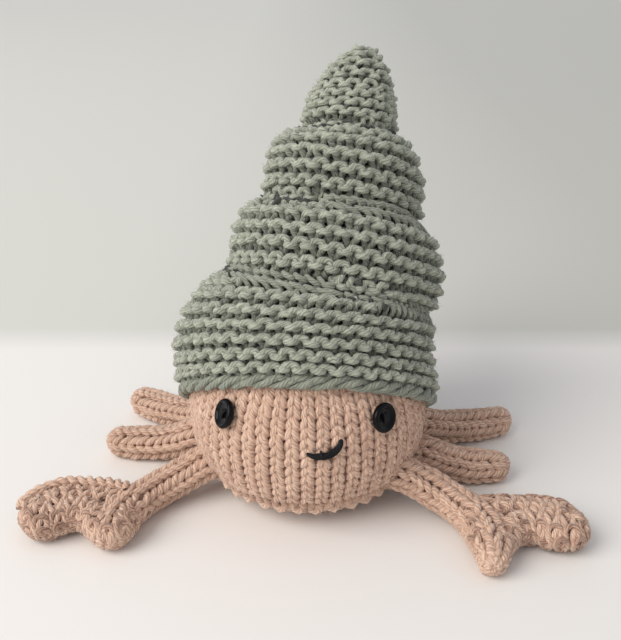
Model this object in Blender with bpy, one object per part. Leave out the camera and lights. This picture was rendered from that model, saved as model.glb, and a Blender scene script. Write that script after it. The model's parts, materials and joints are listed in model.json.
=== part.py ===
"""A hand-knitted hermit crab toy, lying on a table: a stuffed ball of a body under a tall
spiral shell, four cord legs, two cord arms that end in claws, button eyes and a stitched smile.

Frame: metres, +Z up. The crab faces -Y, and its right-hand side in the drawing is +X. The
origin is the centre of the body's flat underside. Every piece that reaches the table has a
small flat at z = 0. Each sub-part is one closed solid; neighbours keep a gap of 0.3 mm.
"""

from math import asin, ceil, cos, floor, pi, radians, sin, sqrt, tau

import bmesh
import bpy
from mathutils import Matrix, Vector

MM = 0.001
GAP = 0.3 * MM

# The body: a ball of stuffed knitting, flattened where it stands.
BODY_RADIUS = 41.2 * MM
BODY_WIDEST_AT = 31.0 * MM      # height of its widest ring
BODY_CROWN = 37.0 * MM          # from the widest ring to the top, hidden in the shell
BODY_DROP = 34.0 * MM           # from the widest ring to where the lower half would close
BODY_SEAT_POWER = 2.5           # the lower half is squarer than a ball, as it sits
BODY_SIDES = 40
BODY_BANDS = 18

# The shell: a cone of ridged knitting, drawn in along a spiral groove.
SHELL_HEIGHT = 126.5 * MM
SHELL_AXIS_TILT = radians(26.0)             # the tip leans back
SHELL_RIM_CENTRE = Vector((0.0, 0.6, 29.9)) * MM
SHELL_SIDES = 40
SHELL_TIP_CAP = 29.0 * MM                   # the last stretch closes as a dome
SHELL_TIP_POWER = 1.75                      # a little more pointed than round
SHELL_RIM_ROLL = 5.0 * MM                   # the rim turns in over this height
SHELL_RIM_RADIUS = 43.4 * MM
# (height along the axis, value there), joined by smooth curves
SHELL_SWAY = ((0, 0.0), (17, -1.4), (47, 9.1), (78, 12.6), (104, 15.4), (126.5, 19.8))  # mm
RING_LEAN = ((0, 2.0), (30, 6.0), (49, 10.5), (80, 11.0), (100, 5.0), (126.5, 4.0))     # degrees
RING_TILT = ((0, 35.5), (14, 32.0), (45, 26.0), (126.5, 26.0))                          # degrees
WHORL_COUNT = ((0, 4.0), (37, 3.0), (65.5, 2.0), (94, 1.0), (126.5, 0.0))               # from the tip
# (whorls from the tip, value there)
GROOVE_LAG = ((1.0, 1.3), (2.0, 1.3), (3.0, 0.5))       # how level the groove runs across the front
BELLY_RADIUS = ((-0.5, 16.6), (0.0, 16.6), (0.5, 22.5), (1.0, 28.4), (2.0, 37.8), (3.0, 45.8), (4.0, 45.8))
WAIST_RADIUS = ((-0.5, 16.6), (0.4, 16.0), (1.0, 16.2), (2.0, 26.6), (3.0, 35.0), (3.5, 45.8), (5.0, 45.8))
SHOULDER_SHARE = 0.58                       # of a whorl's height, from groove to full width
TUCK_SHARE = 0.10                           # of a whorl's height, where it turns into the groove
TUCK_DEPTH = 0.5                            # of the step from its full width to the groove
WHORL_ROWS = (0.0, 0.04, 0.10, 0.18, 0.29, 0.44, 0.66, 0.88, 0.95)
SPIRAL_ROUNDS = 12                          # rounds in which a row finds its own height

# Limbs: knitted cords, each a path of points (mm) from inside the body to the tip.
CORD_RADIUS = 6.1 * MM
CORD_SIDES = 12
CORD_STEP = 5.5 * MM
LEG_PATHS = {
    "leg_left_rear": ((-20, 11, 15), (-33, 18, 13.5), (-45, 26, 9), (-57, 35, 6), (-71.2, 44.5, 5.7)),
    "leg_left_mid": ((-24, 4, 15), (-37, 6, 13), (-49, 8.5, 8), (-61, 10.5, 5.8), (-75.7, 12, 5.7)),
    "leg_right_mid": ((24, -6, 15), (39, -6, 13), (49, -5.5, 8.5), (59, -5, 6), (72.5, -5, 5.7)),
    "leg_right_rear": ((20, 5, 15), (37, 11, 13.5), (49, 17, 9), (61, 22, 6.2), (79.5, 27.5, 5.7)),
}
ARM_PATHS = {
    "arm_left": ((-17, -8, 17), (-32, -12, 14), (-42, -14.5, 9.4), (-51, -19.5, 6.8), (-57.5, -26, 6.2),
                 (-64, -33.5, 5.6)),
    "arm_right": ((17, -14, 18), (29, -20.5, 15), (39, -22.5, 11), (47.5, -27, 7.6), (53.5, -33.5, 6.4),
                  (60, -42, 5.6)),
}
ARM_HALF_WIDTH = ((0.0, 6.1), (0.7, 6.2), (1.0, 7.0))           # share of the path, mm
ARM_HALF_HEIGHT = ((0.0, 6.1), (0.7, 6.0), (1.0, 5.4))
# A claw lies flat. Its outline, seen from above and running anticlockwise, takes in the palm, the
# big finger and the thumb; its backbone runs from the finger's end to the thumb's. All in mm.
CLAW_OUTLINES = {
    "claw_left": ((-55.5, -29), (-58.5, -23.5), (-64.5, -21), (-71.5, -20.6), (-79.5, -19.6), (-86.2, -21.4),
                  (-91.3, -25.8), (-94.6, -31), (-95, -36.5), (-92, -41.2), (-87, -43.6), (-81.6, -41.8),
                  (-76.5, -39.2), (-72.3, -42.6), (-68.3, -46.6), (-64.5, -48.4), (-60, -47), (-57, -43),
                  (-55.4, -36)),
    "claw_right": ((50.5, -33), (50.2, -40), (51.5, -48.5), (54.5, -56), (57.2, -60.3), (59.8, -58.8),
                   (62.3, -54.6), (65.6, -50), (69.8, -46.2), (73.6, -45.8), (77, -47.8), (82, -49),
                   (86.5, -48.6), (90, -45.6), (91.2, -40.5), (89, -34.5), (85.3, -30), (80, -28.2),
                   (74, -27), (68, -27), (62, -27.2), (56, -27.8), (52, -29.6)),
}
CLAW_BACKBONES = {
    "claw_left": ((-88, -32.6), (-78, -29.8), (-66.5, -33), (-63.5, -40.5)),
    "claw_right": ((84.3, -38.5), (74, -36.6), (62, -37.5), (57.5, -50)),
}
CLAW_HALF_HEIGHT = 5.7 * MM
CLAW_MIDDLE_HEIGHT = 5.7 * MM
CLAW_ROUNDING = (-50, -25, 0, 25, 45, 62)    # degrees up round the edge, where its rings are
CLAW_EASING = 3                              # rounds of evening out which bone point a rim point has

# Eyes: shiny round buttons, sewn on. Bearings are degrees from straight ahead, + to the right.
EYES = {"eye_left": (-41.0, 42.4), "eye_right": (36.8, 42.2)}             # bearing, height in mm
EYE_RADIUS = 4.9 * MM
EYE_EDGE_HEIGHT = 2.0 * MM
EYE_RIM_WIDTH = 1.3 * MM
EYE_DISH_DEPTH = 0.7 * MM
EYE_SIDES = 24
THREAD_RADIUS = 0.75 * MM
THREAD_HALF_LENGTH = 1.3 * MM
THREAD_SIDES = 8

# The smile: one long black stitch and the short one that tacks it down, as (bearing, height).
SMILE = ((-0.5, 35.0), (2.6, 34.1), (5.1, 34.0), (7.6, 34.0), (10.2, 34.5), (12.4, 35.5), (14.0, 36.7),
         (14.8, 39.4))
TACK = ((5.8, 35.6), (6.0, 33.0))
SMILE_RADIUS = 0.9 * MM
TACK_RADIUS = 0.5 * MM
MARK_STEPS = 3                              # steps of the thread from one mark to the next


def clear_scene():
    for thing in list(bpy.data.objects):
        bpy.data.objects.remove(thing, do_unlink=True)


def material(name, colour, roughness, metallic=0.0):
    found = bpy.data.materials.get(name) or bpy.data.materials.new(name)
    found.use_nodes = True
    shader = found.node_tree.nodes["Principled BSDF"]
    shader.inputs["Base Color"].default_value = (*colour, 1.0)
    shader.inputs["Roughness"].default_value = roughness
    shader.inputs["Metallic"].default_value = metallic
    return found


def through(knots, x):
    """The smooth curve through (x, y) knots, read at x; level past either end."""
    if x <= knots[0][0]:
        return knots[0][1]
    if x >= knots[-1][0]:
        return knots[-1][1]
    slopes = [(b[1] - a[1]) / (b[0] - a[0]) for a, b in zip(knots, knots[1:])]
    i = max(k for k in range(len(slopes)) if knots[k][0] <= x)
    (x0, y0), (x1, y1) = knots[i], knots[i + 1]
    before = slopes[max(i - 1, 0)]
    after = slopes[min(i + 1, len(slopes) - 1)]
    start = calm_slope(before, slopes[i])
    end = calm_slope(slopes[i], after)
    span = x1 - x0
    t = (x - x0) / span
    return (
        y0 * (1 + 2 * t) * (1 - t) ** 2 + y1 * t * t * (3 - 2 * t)
        + span * (start * t * (1 - t) ** 2 - end * t * t * (1 - t))
    )


def calm_slope(left, right):
    """The slope at a knot that keeps the curve from overshooting."""
    if left * right <= 0:
        return 0.0
    return 2 * left * right / (left + right)


def rounded(points, steps):
    """The smooth curve through a few hand-placed points; steps says how many from one to the next."""
    ends = [2 * points[0] - points[1]] + points + [2 * points[-1] - points[-2]]
    path = []
    for a, b, c, d in zip(ends, ends[1:], ends[2:], ends[3:]):
        count = steps(b, c)
        for k in range(count):
            t = k / count
            path.append(0.5 * (2 * b + (c - a) * t + (2 * a - 5 * b + 4 * c - d) * t * t
                               + (3 * b - a - 3 * c + d) * t ** 3))
    return path + [points[-1]]


def circle(centre, across, upward, radius):
    """The ring of a thin thread round its path."""
    return [centre + (across * cos(tau * k / THREAD_SIDES) + upward * sin(tau * k / THREAD_SIDES)) * radius
            for k in range(THREAD_SIDES)]


def new_object(name, bm, finish, smooth_angle=40.0):
    bmesh.ops.recalc_face_normals(bm, faces=bm.faces)
    if bm.calc_volume(signed=True) < 0:
        bmesh.ops.reverse_faces(bm, faces=bm.faces)
    mesh = bpy.data.meshes.new(name)
    bm.to_mesh(mesh)
    bm.free()
    mesh.shade_smooth()
    mesh.set_sharp_from_angle(angle=radians(smooth_angle))
    thing = bpy.data.objects.new(name, mesh)
    bpy.context.scene.collection.objects.link(thing)
    if finish:
        mesh.materials.append(finish)
    return thing


def loft(rings):
    """A closed skin over rings of equal size; a ring of one point is a pole."""
    bm = bmesh.new()
    rows = [[bm.verts.new(p) for p in ring] for ring in rings]
    for low, high in zip(rows, rows[1:]):
        count = max(len(low), len(high))
        for k in range(count):
            corners = [low[k % len(low)], low[(k + 1) % len(low)],
                       high[(k + 1) % len(high)], high[k % len(high)]]
            bm.faces.new(list(dict.fromkeys(corners)))
    for row in (rows[0], rows[-1]):
        if len(row) > 1:
            bm.faces.new(row)
    bmesh.ops.remove_doubles(bm, verts=bm.verts, dist=GAP / 10)
    return bm


def cut(thing, cutter):
    """Takes the cutter's solid out of the piece."""
    boolean = thing.modifiers.new("clear_of_" + cutter.name, "BOOLEAN")
    boolean.operation = "DIFFERENCE"
    boolean.solver = "EXACT"
    boolean.object = cutter


def as_cutter(name, bm):
    guide = new_object(name, bm, None)
    guide.hide_render = True
    guide.display_type = "WIRE"
    return guide


def body_radius(height, grow=0.0):
    """Radius of the body at a height above the table; grow gives the same body, larger."""
    crown = height > BODY_WIDEST_AT
    reach = (BODY_CROWN if crown else BODY_DROP) + grow
    power = 2.0 if crown else BODY_SEAT_POWER
    share = min(1.0, abs(height - BODY_WIDEST_AT) / reach)
    return (BODY_RADIUS + grow) * (1 - share ** power) ** (1 / power)


def body_rings(grow=0.0):
    """Rings of the body from its flat seat to its crown, evenly spread over the curve."""
    seat = -grow
    lowest = asin((BODY_WIDEST_AT - seat) / (BODY_DROP + grow))
    rings = [[Vector((0, 0, seat))]]
    for band in range(BODY_BANDS):
        rise = -lowest + (pi / 2 + lowest) * band / BODY_BANDS
        reach = (BODY_CROWN if rise > 0 else BODY_DROP) + grow
        height = BODY_WIDEST_AT + reach * sin(rise)
        radius = body_radius(height, grow)
        rings.append([Vector((radius * cos(tau * k / BODY_SIDES), radius * sin(tau * k / BODY_SIDES), height))
                      for k in range(BODY_SIDES)])
    return rings + [[Vector((0, 0, BODY_WIDEST_AT + BODY_CROWN + grow))]]


def body_place(bearing, height):
    """Point and outward normal on the body, at a bearing in degrees and a height in mm."""
    level = height * MM
    turn = radians(bearing)
    step = 0.2 * MM
    slope = (body_radius(level - step) - body_radius(level + step)) / (2 * step)
    out = Vector((sin(turn), -cos(turn), slope)).normalized()
    radius = body_radius(level)
    return Vector((radius * sin(turn), -radius * cos(turn), level)), out


def spiral_offset(turn, count):
    """Whorls by which the groove has come down, a turn from straight ahead."""
    return (turn - through(GROOVE_LAG, count) * sin(turn)) / tau


def height_at(count):
    """Height (mm) along the axis at a whorl count from the tip."""
    return through([(value, height) for height, value in reversed(WHORL_COUNT)], count)


def shell_radius(height, turn):
    """Radius of the shell at a height (mm) along its axis and a turn from straight ahead."""
    count = through(WHORL_COUNT, height)
    groove_count = count - spiral_offset(turn, count)
    return whorl_radius(height, count, groove_count - floor(groove_count))


def whorl_radius(height, count, within):
    """The same, at a whorl count and a share of the whorl, from the groove above it down."""
    start = count - within
    belly = through(BELLY_RADIUS, start)
    waist_above = min(belly, through(WAIST_RADIUS, start))
    waist_below = through(WAIST_RADIUS, start + 1)
    radius = belly
    if within < SHOULDER_SHARE:
        share = within / SHOULDER_SHARE
        radius = waist_above + (belly - waist_above) * sqrt(1 - (1 - share) ** 2)
    elif within > 1 - TUCK_SHARE:
        share = (within - 1 + TUCK_SHARE) / TUCK_SHARE
        radius = belly - (belly - waist_below) * share ** 2 * TUCK_DEPTH
    cap_start = (SHELL_HEIGHT - SHELL_TIP_CAP) / MM
    if height > cap_start:
        share = (height - cap_start) * MM / SHELL_TIP_CAP
        dome = max(0.0, 1 - share ** SHELL_TIP_POWER) ** (1 / SHELL_TIP_POWER)
        radius *= dome
    roll = max(0.0, 1 - height * MM / SHELL_RIM_ROLL)
    return (radius * MM) * (1 - roll ** 2) + SHELL_RIM_RADIUS * roll ** 2


def shell_place(height, turn, radius):
    """The point at a height (mm) along the axis, a turn from straight ahead and a radius."""
    lean = radians(through(RING_LEAN, height))
    tilt = radians(through(RING_TILT, height))
    up_axis = Vector((0, sin(SHELL_AXIS_TILT), cos(SHELL_AXIS_TILT)))
    centre = SHELL_RIM_CENTRE + up_axis * height * MM + Vector((through(SHELL_SWAY, height) * MM, 0, 0))
    side = Vector((cos(lean), 0, -sin(lean)))
    ring_up = Matrix.Rotation(lean, 3, "Y") @ Vector((0, sin(tilt), cos(tilt)))
    back = ring_up.cross(side).normalized()
    return centre + side * radius * sin(turn) - back * radius * cos(turn)


def shell_skin():
    """The shell's closed skin. Its rows follow the groove round, so a row that leaves one
    side of the seam comes in on the other side one whorl lower."""
    whorls = int(WHORL_COUNT[0][1])
    per_whorl = len(WHORL_ROWS)
    bm = bmesh.new()

    def corner(row, column):
        turn = -pi + tau * column / SHELL_SIDES
        within = WHORL_ROWS[row % per_whorl]
        label = row // per_whorl + within
        count = label
        for _ in range(SPIRAL_ROUNDS):
            count = label + spiral_offset(turn, count)
        count = min(max(count, 0.0), whorls)
        height = height_at(count)
        if 0.0 < count < whorls:
            radius = whorl_radius(height, count, within)
        else:
            radius = shell_radius(height, turn)
        return shell_place(height, turn, radius)

    grid = {}
    for row in range(-per_whorl, (whorls + 2) * per_whorl):
        for column in range(SHELL_SIDES):
            grid[row, column] = bm.verts.new(corner(row, column))
    for row in range(-per_whorl, (whorls + 1) * per_whorl - 1):
        for column in range(SHELL_SIDES):
            next_row, next_column = row, column + 1
            if next_column == SHELL_SIDES:
                next_row, next_column = row + per_whorl, 0
            if (next_row + 1, next_column) in grid:
                bm.faces.new((grid[row, column], grid[row + 1, column],
                              grid[next_row + 1, next_column], grid[next_row, next_column]))
    bmesh.ops.remove_doubles(bm, verts=bm.verts, dist=GAP)
    bmesh.ops.holes_fill(bm, edges=[e for e in bm.edges if e.is_boundary], sides=0)
    return bm


def cord_rings(path, half_width, half_height, sides, dome):
    """Rings across a path, flat where they would go below the table; both are functions of
    the share of the path, and the last stretch, dome long, closes round."""
    lengths = [0.0]
    for a, b in zip(path, path[1:]):
        lengths.append(lengths[-1] + (b - a).length)
    total = lengths[-1]
    rings = []
    for k, centre in enumerate(path):
        along = (path[min(k + 1, len(path) - 1)] - path[max(k - 1, 0)]).normalized()
        across = along.cross(Vector((0, 0, 1))).normalized()
        upward = across.cross(along)
        left = max(0.0, total - lengths[k])
        close = sqrt(max(0.0, 1 - max(0.0, 1 - left / dome) ** 2))
        share = lengths[k] / total
        ring = []
        for n in range(sides):
            turn = tau * (n + 0.5) / sides
            point = (centre + across * half_width(share) * close * cos(turn)
                     + upward * half_height(share) * close * sin(turn))
            point.z = max(point.z, 0.0)
            ring.append(point)
        rings.append(ring if close > 0 else [Vector((centre.x, centre.y, max(centre.z, 0.0)))])
    return rings


def dome_path(points, dome):
    """A path whose last stretch has extra points, so that its round end is round."""
    path = rounded([Vector(p) * MM for p in points], lambda a, b: max(1, ceil((b - a).length / CORD_STEP)))
    total = sum((b - a).length for a, b in zip(path, path[1:]))
    kept, run = [path[0]], 0.0
    for a, b in zip(path, path[1:]):
        run += (b - a).length
        if run < total - dome * 1.15:
            kept.append(b)
    last = path[-1]
    way = (last - path[-3]).normalized()
    for turn in (0.0, 30.0, 55.0, 75.0, 90.0):
        kept.append(last - way * dome * (1 - sin(radians(turn))))
    return kept


def knitted_cord(name, points, finish):
    rings = cord_rings(dome_path(points, CORD_RADIUS), lambda share: CORD_RADIUS,
                       lambda share: CORD_RADIUS, CORD_SIDES, CORD_RADIUS)
    return new_object(name, loft(rings), finish)


def flattened_cord(name, points, half_width, half_height, sides, finish):
    """A cord whose width and height change along it: an arm that broadens into the palm."""
    dome = through(half_width, 1.0) * MM
    rings = cord_rings(dome_path(points, dome), lambda share: through(half_width, share) * MM,
                       lambda share: through(half_height, share) * MM, sides, dome)
    return new_object(name, loft(rings), finish)


def closed_line(marks):
    """The smooth closed line through marks, two points for each mark."""
    points = [Vector((x, y, 0)) * MM for x, y in marks]
    path = rounded([points[-1]] + points + points[:2], lambda a, b: 2)
    return path[2:2 + 2 * len(points)]


def cushion(name, outline, backbone, finish):
    """A claw: rings that shrink from its outline towards its backbone, above and below."""
    rim = closed_line(outline)
    bone = rounded([Vector((x, y, 0)) * MM for x, y in backbone], lambda a, b: 8)
    middle = [min(bone, key=lambda point: (point - edge).length) for edge in rim]
    for _ in range(CLAW_EASING):
        middle = [(middle[k - 1] + middle[k] + middle[(k + 1) % len(middle)]) / 3 for k in range(len(middle))]
    rings = []
    for rise in (radians(x) for x in CLAW_ROUNDING):
        level = Vector((0, 0, CLAW_MIDDLE_HEIGHT + CLAW_HALF_HEIGHT * sin(rise) / sin(radians(CLAW_ROUNDING[-1]))))
        level.z = max(level.z, 0.0)
        rings.append([inner + (edge - inner) * cos(rise) + level for edge, inner in zip(rim, middle)])
    return new_object(name, loft(rings), finish)


def grown_copy(thing, name):
    """A guide a gap larger all round than the piece, to cut its neighbour with."""
    bm = bmesh.new()
    bm.from_mesh(thing.data)
    bm.normal_update()
    for vertex in bm.verts:
        vertex.co += vertex.normal * GAP * vertex.calc_shell_factor()
    return as_cutter(name, bm)


def button(name, bearing, height, finish):
    """A turned button: domed back edge, raised rim and a dished face, flat behind."""
    place, out = body_place(bearing, height)
    rim = EYE_EDGE_HEIGHT
    inner = EYE_RADIUS - EYE_RIM_WIDTH
    profile = [(EYE_RADIUS * 0.80, 0.0), (EYE_RADIUS, rim * 0.45), (EYE_RADIUS * 0.97, rim * 0.8),
               (EYE_RADIUS - EYE_RIM_WIDTH * 0.5, rim), (inner, rim - EYE_DISH_DEPTH * 0.35),
               (inner * 0.6, rim - EYE_DISH_DEPTH)]
    rings = [[Vector((0, 0, 0))]]
    for radius, level in profile:
        rings.append([Vector((radius * cos(tau * k / EYE_SIDES), radius * sin(tau * k / EYE_SIDES), level))
                      for k in range(EYE_SIDES)])
    rings.append([Vector((0, 0, rim - EYE_DISH_DEPTH))])
    bm = loft(rings)
    turn = out.to_track_quat("Z", "Y").to_matrix().to_4x4()
    # the ball curves away under the flat back, so the button stands off it by a gap at its middle
    bm.transform(Matrix.Translation(place + out * GAP) @ turn)
    return new_object(name, bm, finish)


def eye_thread(name, bearing, height, finish):
    """The short bar of thread that shows in the middle of a button."""
    place, out = body_place(bearing, height)
    level = place + out * (GAP * 2 + EYE_EDGE_HEIGHT - EYE_DISH_DEPTH + THREAD_RADIUS)
    up = (Vector((0, 0, 1)) - out * out.z).normalized()
    rings = [[level - up * THREAD_HALF_LENGTH]]
    for share, thickness in ((-0.75, 0.75), (0.0, 1.0), (0.75, 0.75)):
        rings.append(circle(level + up * THREAD_HALF_LENGTH * share, up.cross(out), out,
                            THREAD_RADIUS * thickness))
    rings.append([level + up * THREAD_HALF_LENGTH])
    return new_object(name, loft(rings), finish)


def stitched_line(name, marks, radius, lift, finish):
    """A thread that lies along the body through (bearing, height) marks."""
    path = rounded([Vector((bearing, height, 0)) for bearing, height in marks], lambda a, b: MARK_STEPS)
    places = [body_place(mark.x, mark.y) for mark in path]
    last = len(path) - 1
    rings = []
    for k, (place, out) in enumerate(places):
        centre = place + out * (lift + radius)
        along = (places[min(k + 1, last)][0] - places[max(k - 1, 0)][0]).normalized()
        rings.append([centre] if k in (0, last) else circle(centre, along.cross(out).normalized(), out, radius))
    return new_object(name, loft(rings), finish)


def build():
    clear_scene()
    peach = material("peach_yarn", (0.62, 0.41, 0.30), 0.95)
    grey = material("grey_green_yarn", (0.33, 0.36, 0.31), 0.95)
    gloss = material("black_button", (0.008, 0.008, 0.009), 0.12)
    thread = material("black_thread", (0.010, 0.010, 0.011), 0.7)

    new_object("body", loft(body_rings()), peach)
    body_guide = as_cutter("guide_body", loft(body_rings(GAP)))

    shell = new_object("shell", shell_skin(), grey)
    cut(shell, body_guide)

    for name, points in LEG_PATHS.items():
        leg = knitted_cord(name, points, peach)
        cut(leg, body_guide)
    shell_guide = grown_copy(shell, "guide_shell")

    for side in ("left", "right"):
        arm_name, claw_name = "arm_" + side, "claw_" + side
        arm = flattened_cord(arm_name, ARM_PATHS[arm_name], ARM_HALF_WIDTH, ARM_HALF_HEIGHT, CORD_SIDES, peach)
        cut(arm, body_guide)
        claw = cushion(claw_name, CLAW_OUTLINES[claw_name], CLAW_BACKBONES[claw_name], peach)
        cut(arm, grown_copy(claw, "guide_" + claw_name))
    for name in LEG_PATHS:
        cut(bpy.data.objects[name], shell_guide)

    for name, (bearing, height) in EYES.items():
        button(name, bearing, height, gloss)
        eye_thread(name.replace("eye", "eye_thread"), bearing, height, thread)

    stitched_line("smile", SMILE, SMILE_RADIUS, GAP, thread)
    stitched_line("smile_tack", TACK, TACK_RADIUS, GAP * 2 + SMILE_RADIUS * 2, thread)


build()
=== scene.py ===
# %% [markdown]
# # A hand-knitted hermit crab toy
#
# The real toy is worsted yarn and stuffing. A peach ball of smooth stocking stitch is the body,
# four knitted cords are the legs, two more broaden into palms and thumbs, and a tall grey-green
# cone of ridged garter stitch, drawn in along a spiral, is the shell. This script dresses the
# imported solids in real knitting: every row is one strand of yarn, bent into loops that hook into
# the rows above and below.
#
# The plan: load the imported solids, write down the gauge of the knitting, describe each stuffed form as
# a surface, lay rows of stitches on it, and let one Geometry Nodes tree turn the rows into yarn.

# %% Load the imported model
import json
from math import ceil, cos, pi, radians, sin, tau

import bpy
import numpy as np
from mathutils import Matrix, Vector

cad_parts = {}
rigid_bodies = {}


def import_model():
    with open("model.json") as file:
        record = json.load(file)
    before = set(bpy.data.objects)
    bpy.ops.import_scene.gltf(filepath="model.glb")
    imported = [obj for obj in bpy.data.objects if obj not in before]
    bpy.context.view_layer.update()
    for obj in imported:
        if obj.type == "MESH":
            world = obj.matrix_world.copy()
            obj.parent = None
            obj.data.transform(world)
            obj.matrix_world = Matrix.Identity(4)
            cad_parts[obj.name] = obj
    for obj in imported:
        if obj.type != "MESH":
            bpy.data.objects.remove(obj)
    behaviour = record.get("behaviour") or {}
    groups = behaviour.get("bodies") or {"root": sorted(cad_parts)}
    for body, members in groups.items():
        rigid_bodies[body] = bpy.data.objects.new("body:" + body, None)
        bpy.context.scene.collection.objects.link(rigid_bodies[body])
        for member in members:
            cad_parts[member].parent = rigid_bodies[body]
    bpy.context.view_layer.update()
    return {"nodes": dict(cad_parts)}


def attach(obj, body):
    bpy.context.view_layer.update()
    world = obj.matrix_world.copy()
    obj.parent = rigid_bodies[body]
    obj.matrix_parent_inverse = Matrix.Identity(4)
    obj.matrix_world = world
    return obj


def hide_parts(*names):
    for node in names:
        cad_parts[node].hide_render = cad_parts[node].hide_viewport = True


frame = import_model()
MM = 0.001
print("packed nodes:", ", ".join(sorted(frame["nodes"])))

# %% [markdown]
# ## The gauge
# A knitter counts stitches and rows. Here one stitch is about 5 mm wide and one smooth row is
# 3.4 mm tall, in yarn 2.4 mm thick. Garter rows are squashed together in pairs, and each pair shows
# as one ridge. All the sizes below are in millimetres and are turned into metres when points are
# made.

# %% Gauge and the sizes of the stuffed forms
YARN_RADIUS = 1.2
SMOOTH_ROW = 3.4
YARN_DEPTH = 1.7            # the middle of the fabric lies this far inside the stuffed form
ROW_SAMPLES = 14            # points of yarn in one stitch
YARN_SIDES = 8

BODY_RADIUS, BODY_WIDEST_AT, BODY_CROWN, BODY_DROP, BODY_SEAT_POWER = 41.2, 31.0, 37.0, 34.0, 2.5
BODY_COLUMNS = 51

SHELL_HEIGHT, SHELL_AXIS_TILT = 126.5, radians(26.0)
SHELL_RIM_CENTRE = np.array((0.0, 0.6, 29.9))
SHELL_TIP_CAP, SHELL_TIP_POWER = 29.0, 1.75
SHELL_RIM_ROLL, SHELL_RIM_RADIUS = 5.0, 43.4
SHELL_SWAY = ((0, 0.0), (17, -1.4), (47, 9.1), (78, 12.6), (104, 15.4), (126.5, 19.8))
RING_LEAN = ((0, 2.0), (30, 6.0), (49, 10.5), (80, 11.0), (100, 5.0), (126.5, 4.0))
RING_TILT = ((0, 35.5), (14, 32.0), (45, 26.0), (126.5, 26.0))
WHORL_COUNT = ((0, 4.0), (37, 3.0), (65.5, 2.0), (94, 1.0), (126.5, 0.0))
GROOVE_LAG = ((1.0, 1.3), (2.0, 1.3), (3.0, 0.5))
BELLY_RADIUS = ((-0.5, 16.6), (0.0, 16.6), (0.5, 22.5), (1.0, 28.4), (2.0, 37.8), (3.0, 45.8), (4.0, 45.8))
WAIST_RADIUS = ((-0.5, 16.6), (0.4, 16.0), (1.0, 16.2), (2.0, 26.6), (3.0, 35.0), (3.5, 45.8), (5.0, 45.8))
SHOULDER_SHARE, TUCK_SHARE, TUCK_DEPTH = 0.58, 0.10, 0.5

LEG_PATHS = {
    "leg_left_rear": ((-20, 11, 15), (-33, 18, 13.5), (-45, 26, 9), (-57, 35, 6), (-71.2, 44.5, 5.7)),
    "leg_left_mid": ((-24, 4, 15), (-37, 6, 13), (-49, 8.5, 8), (-61, 10.5, 5.8), (-75.7, 12, 5.7)),
    "leg_right_mid": ((24, -6, 15), (39, -6, 13), (49, -5.5, 8.5), (59, -5, 6), (72.5, -5, 5.7)),
    "leg_right_rear": ((20, 5, 15), (37, 11, 13.5), (49, 17, 9), (61, 22, 6.2), (79.5, 27.5, 5.7)),
}
ARM_PATHS = {
    "arm_left": ((-17, -8, 17), (-32, -12, 14), (-42, -14.5, 9.4), (-51, -19.5, 6.8), (-58, -27, 6.1),
                 (-62.3, -34.5, 6.0), (-64, -41, 5.8), (-64.5, -48, 5.4)),
    "arm_right": ((17, -14, 18), (29, -20.5, 15), (39, -22.5, 11), (47.5, -27, 7.6), (53.5, -33.5, 6.4),
                  (57.6, -42, 6.0), (58.4, -50, 5.8), (57.4, -60, 5.2)),
}
CORD_WIDTH = ((0.0, 6.1), (0.75, 6.1), (1.0, 5.0))
ARM_HALF_WIDTH = {
    "arm_left": ((0.0, 6.1), (0.64, 6.2), (0.80, 7.1), (0.90, 7.1), (1.0, 6.0)),
    "arm_right": ((0.0, 6.1), (0.60, 6.2), (0.75, 7.6), (0.86, 6.5), (1.0, 3.4)),
}
ARM_HALF_HEIGHT = ((0.0, 6.1), (0.7, 6.0), (0.88, 6.0), (1.0, 4.8))
# A claw lies flat. Its outline, seen from above and running anticlockwise, takes in the palm, the
# big finger and the thumb; its backbone runs from the finger's end to the thumb's.
CLAW_OUTLINES = {
    "claw_left": ((-55.5, -29), (-58.5, -23.5), (-64.5, -21), (-71.5, -20.6), (-79.5, -19.6), (-86.2, -21.4),
                  (-91.3, -25.8), (-94.6, -31), (-95, -36.5), (-92, -41.2), (-87, -43.6), (-81.6, -41.8),
                  (-76.5, -39.2), (-72.3, -42.6), (-68.3, -46.6), (-64.5, -48.4), (-60, -47), (-57, -43),
                  (-55.4, -36)),
    "claw_right": ((50.5, -33), (50.2, -40), (51.5, -48.5), (54.5, -56), (57.2, -60.3), (59.8, -58.8),
                   (62.3, -54.6), (65.6, -50), (69.8, -46.2), (73.6, -45.8), (77, -47.8), (82, -49),
                   (86.5, -48.6), (90, -45.6), (91.2, -40.5), (89, -34.5), (85.3, -30), (80, -28.2),
                   (74, -27), (68, -27), (62, -27.2), (56, -27.8), (52, -29.6)),
}
CLAW_BACKBONES = {
    "claw_left": ((-88, -32.6), (-78, -29.8), (-66.5, -33), (-63.5, -40.5)),
    "claw_right": ((84.3, -38.5), (74, -36.6), (62, -37.5), (57.5, -50)),
}
CLAW_HALF_HEIGHT, CLAW_MIDDLE_HEIGHT = 5.7, 6.0

EYES = {"eye_left": (-41.0, 42.4), "eye_right": (36.8, 42.2)}
SMILE = ((-0.5, 35.0), (0.7, 34.6), (2.6, 34.1), (5.1, 34.0), (7.6, 34.0), (10.2, 34.5),
         (12.4, 35.5), (14.0, 36.7), (14.8, 38.1), (14.8, 39.4))
TACK = ((5.8, 35.6), (5.8, 34.4), (6.0, 33.0))
print("stitches round the body:", BODY_COLUMNS)
print("width of one, mm:", round(tau * BODY_RADIUS / BODY_COLUMNS, 2))

# %% [markdown]
# ## Node trees in a few words
# Most of the work below is done by nodes: one tree knits, one scatters fibres, and each material
# has its own. Tree adds a node and fills in its inputs with values or with other nodes' outputs.

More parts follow.
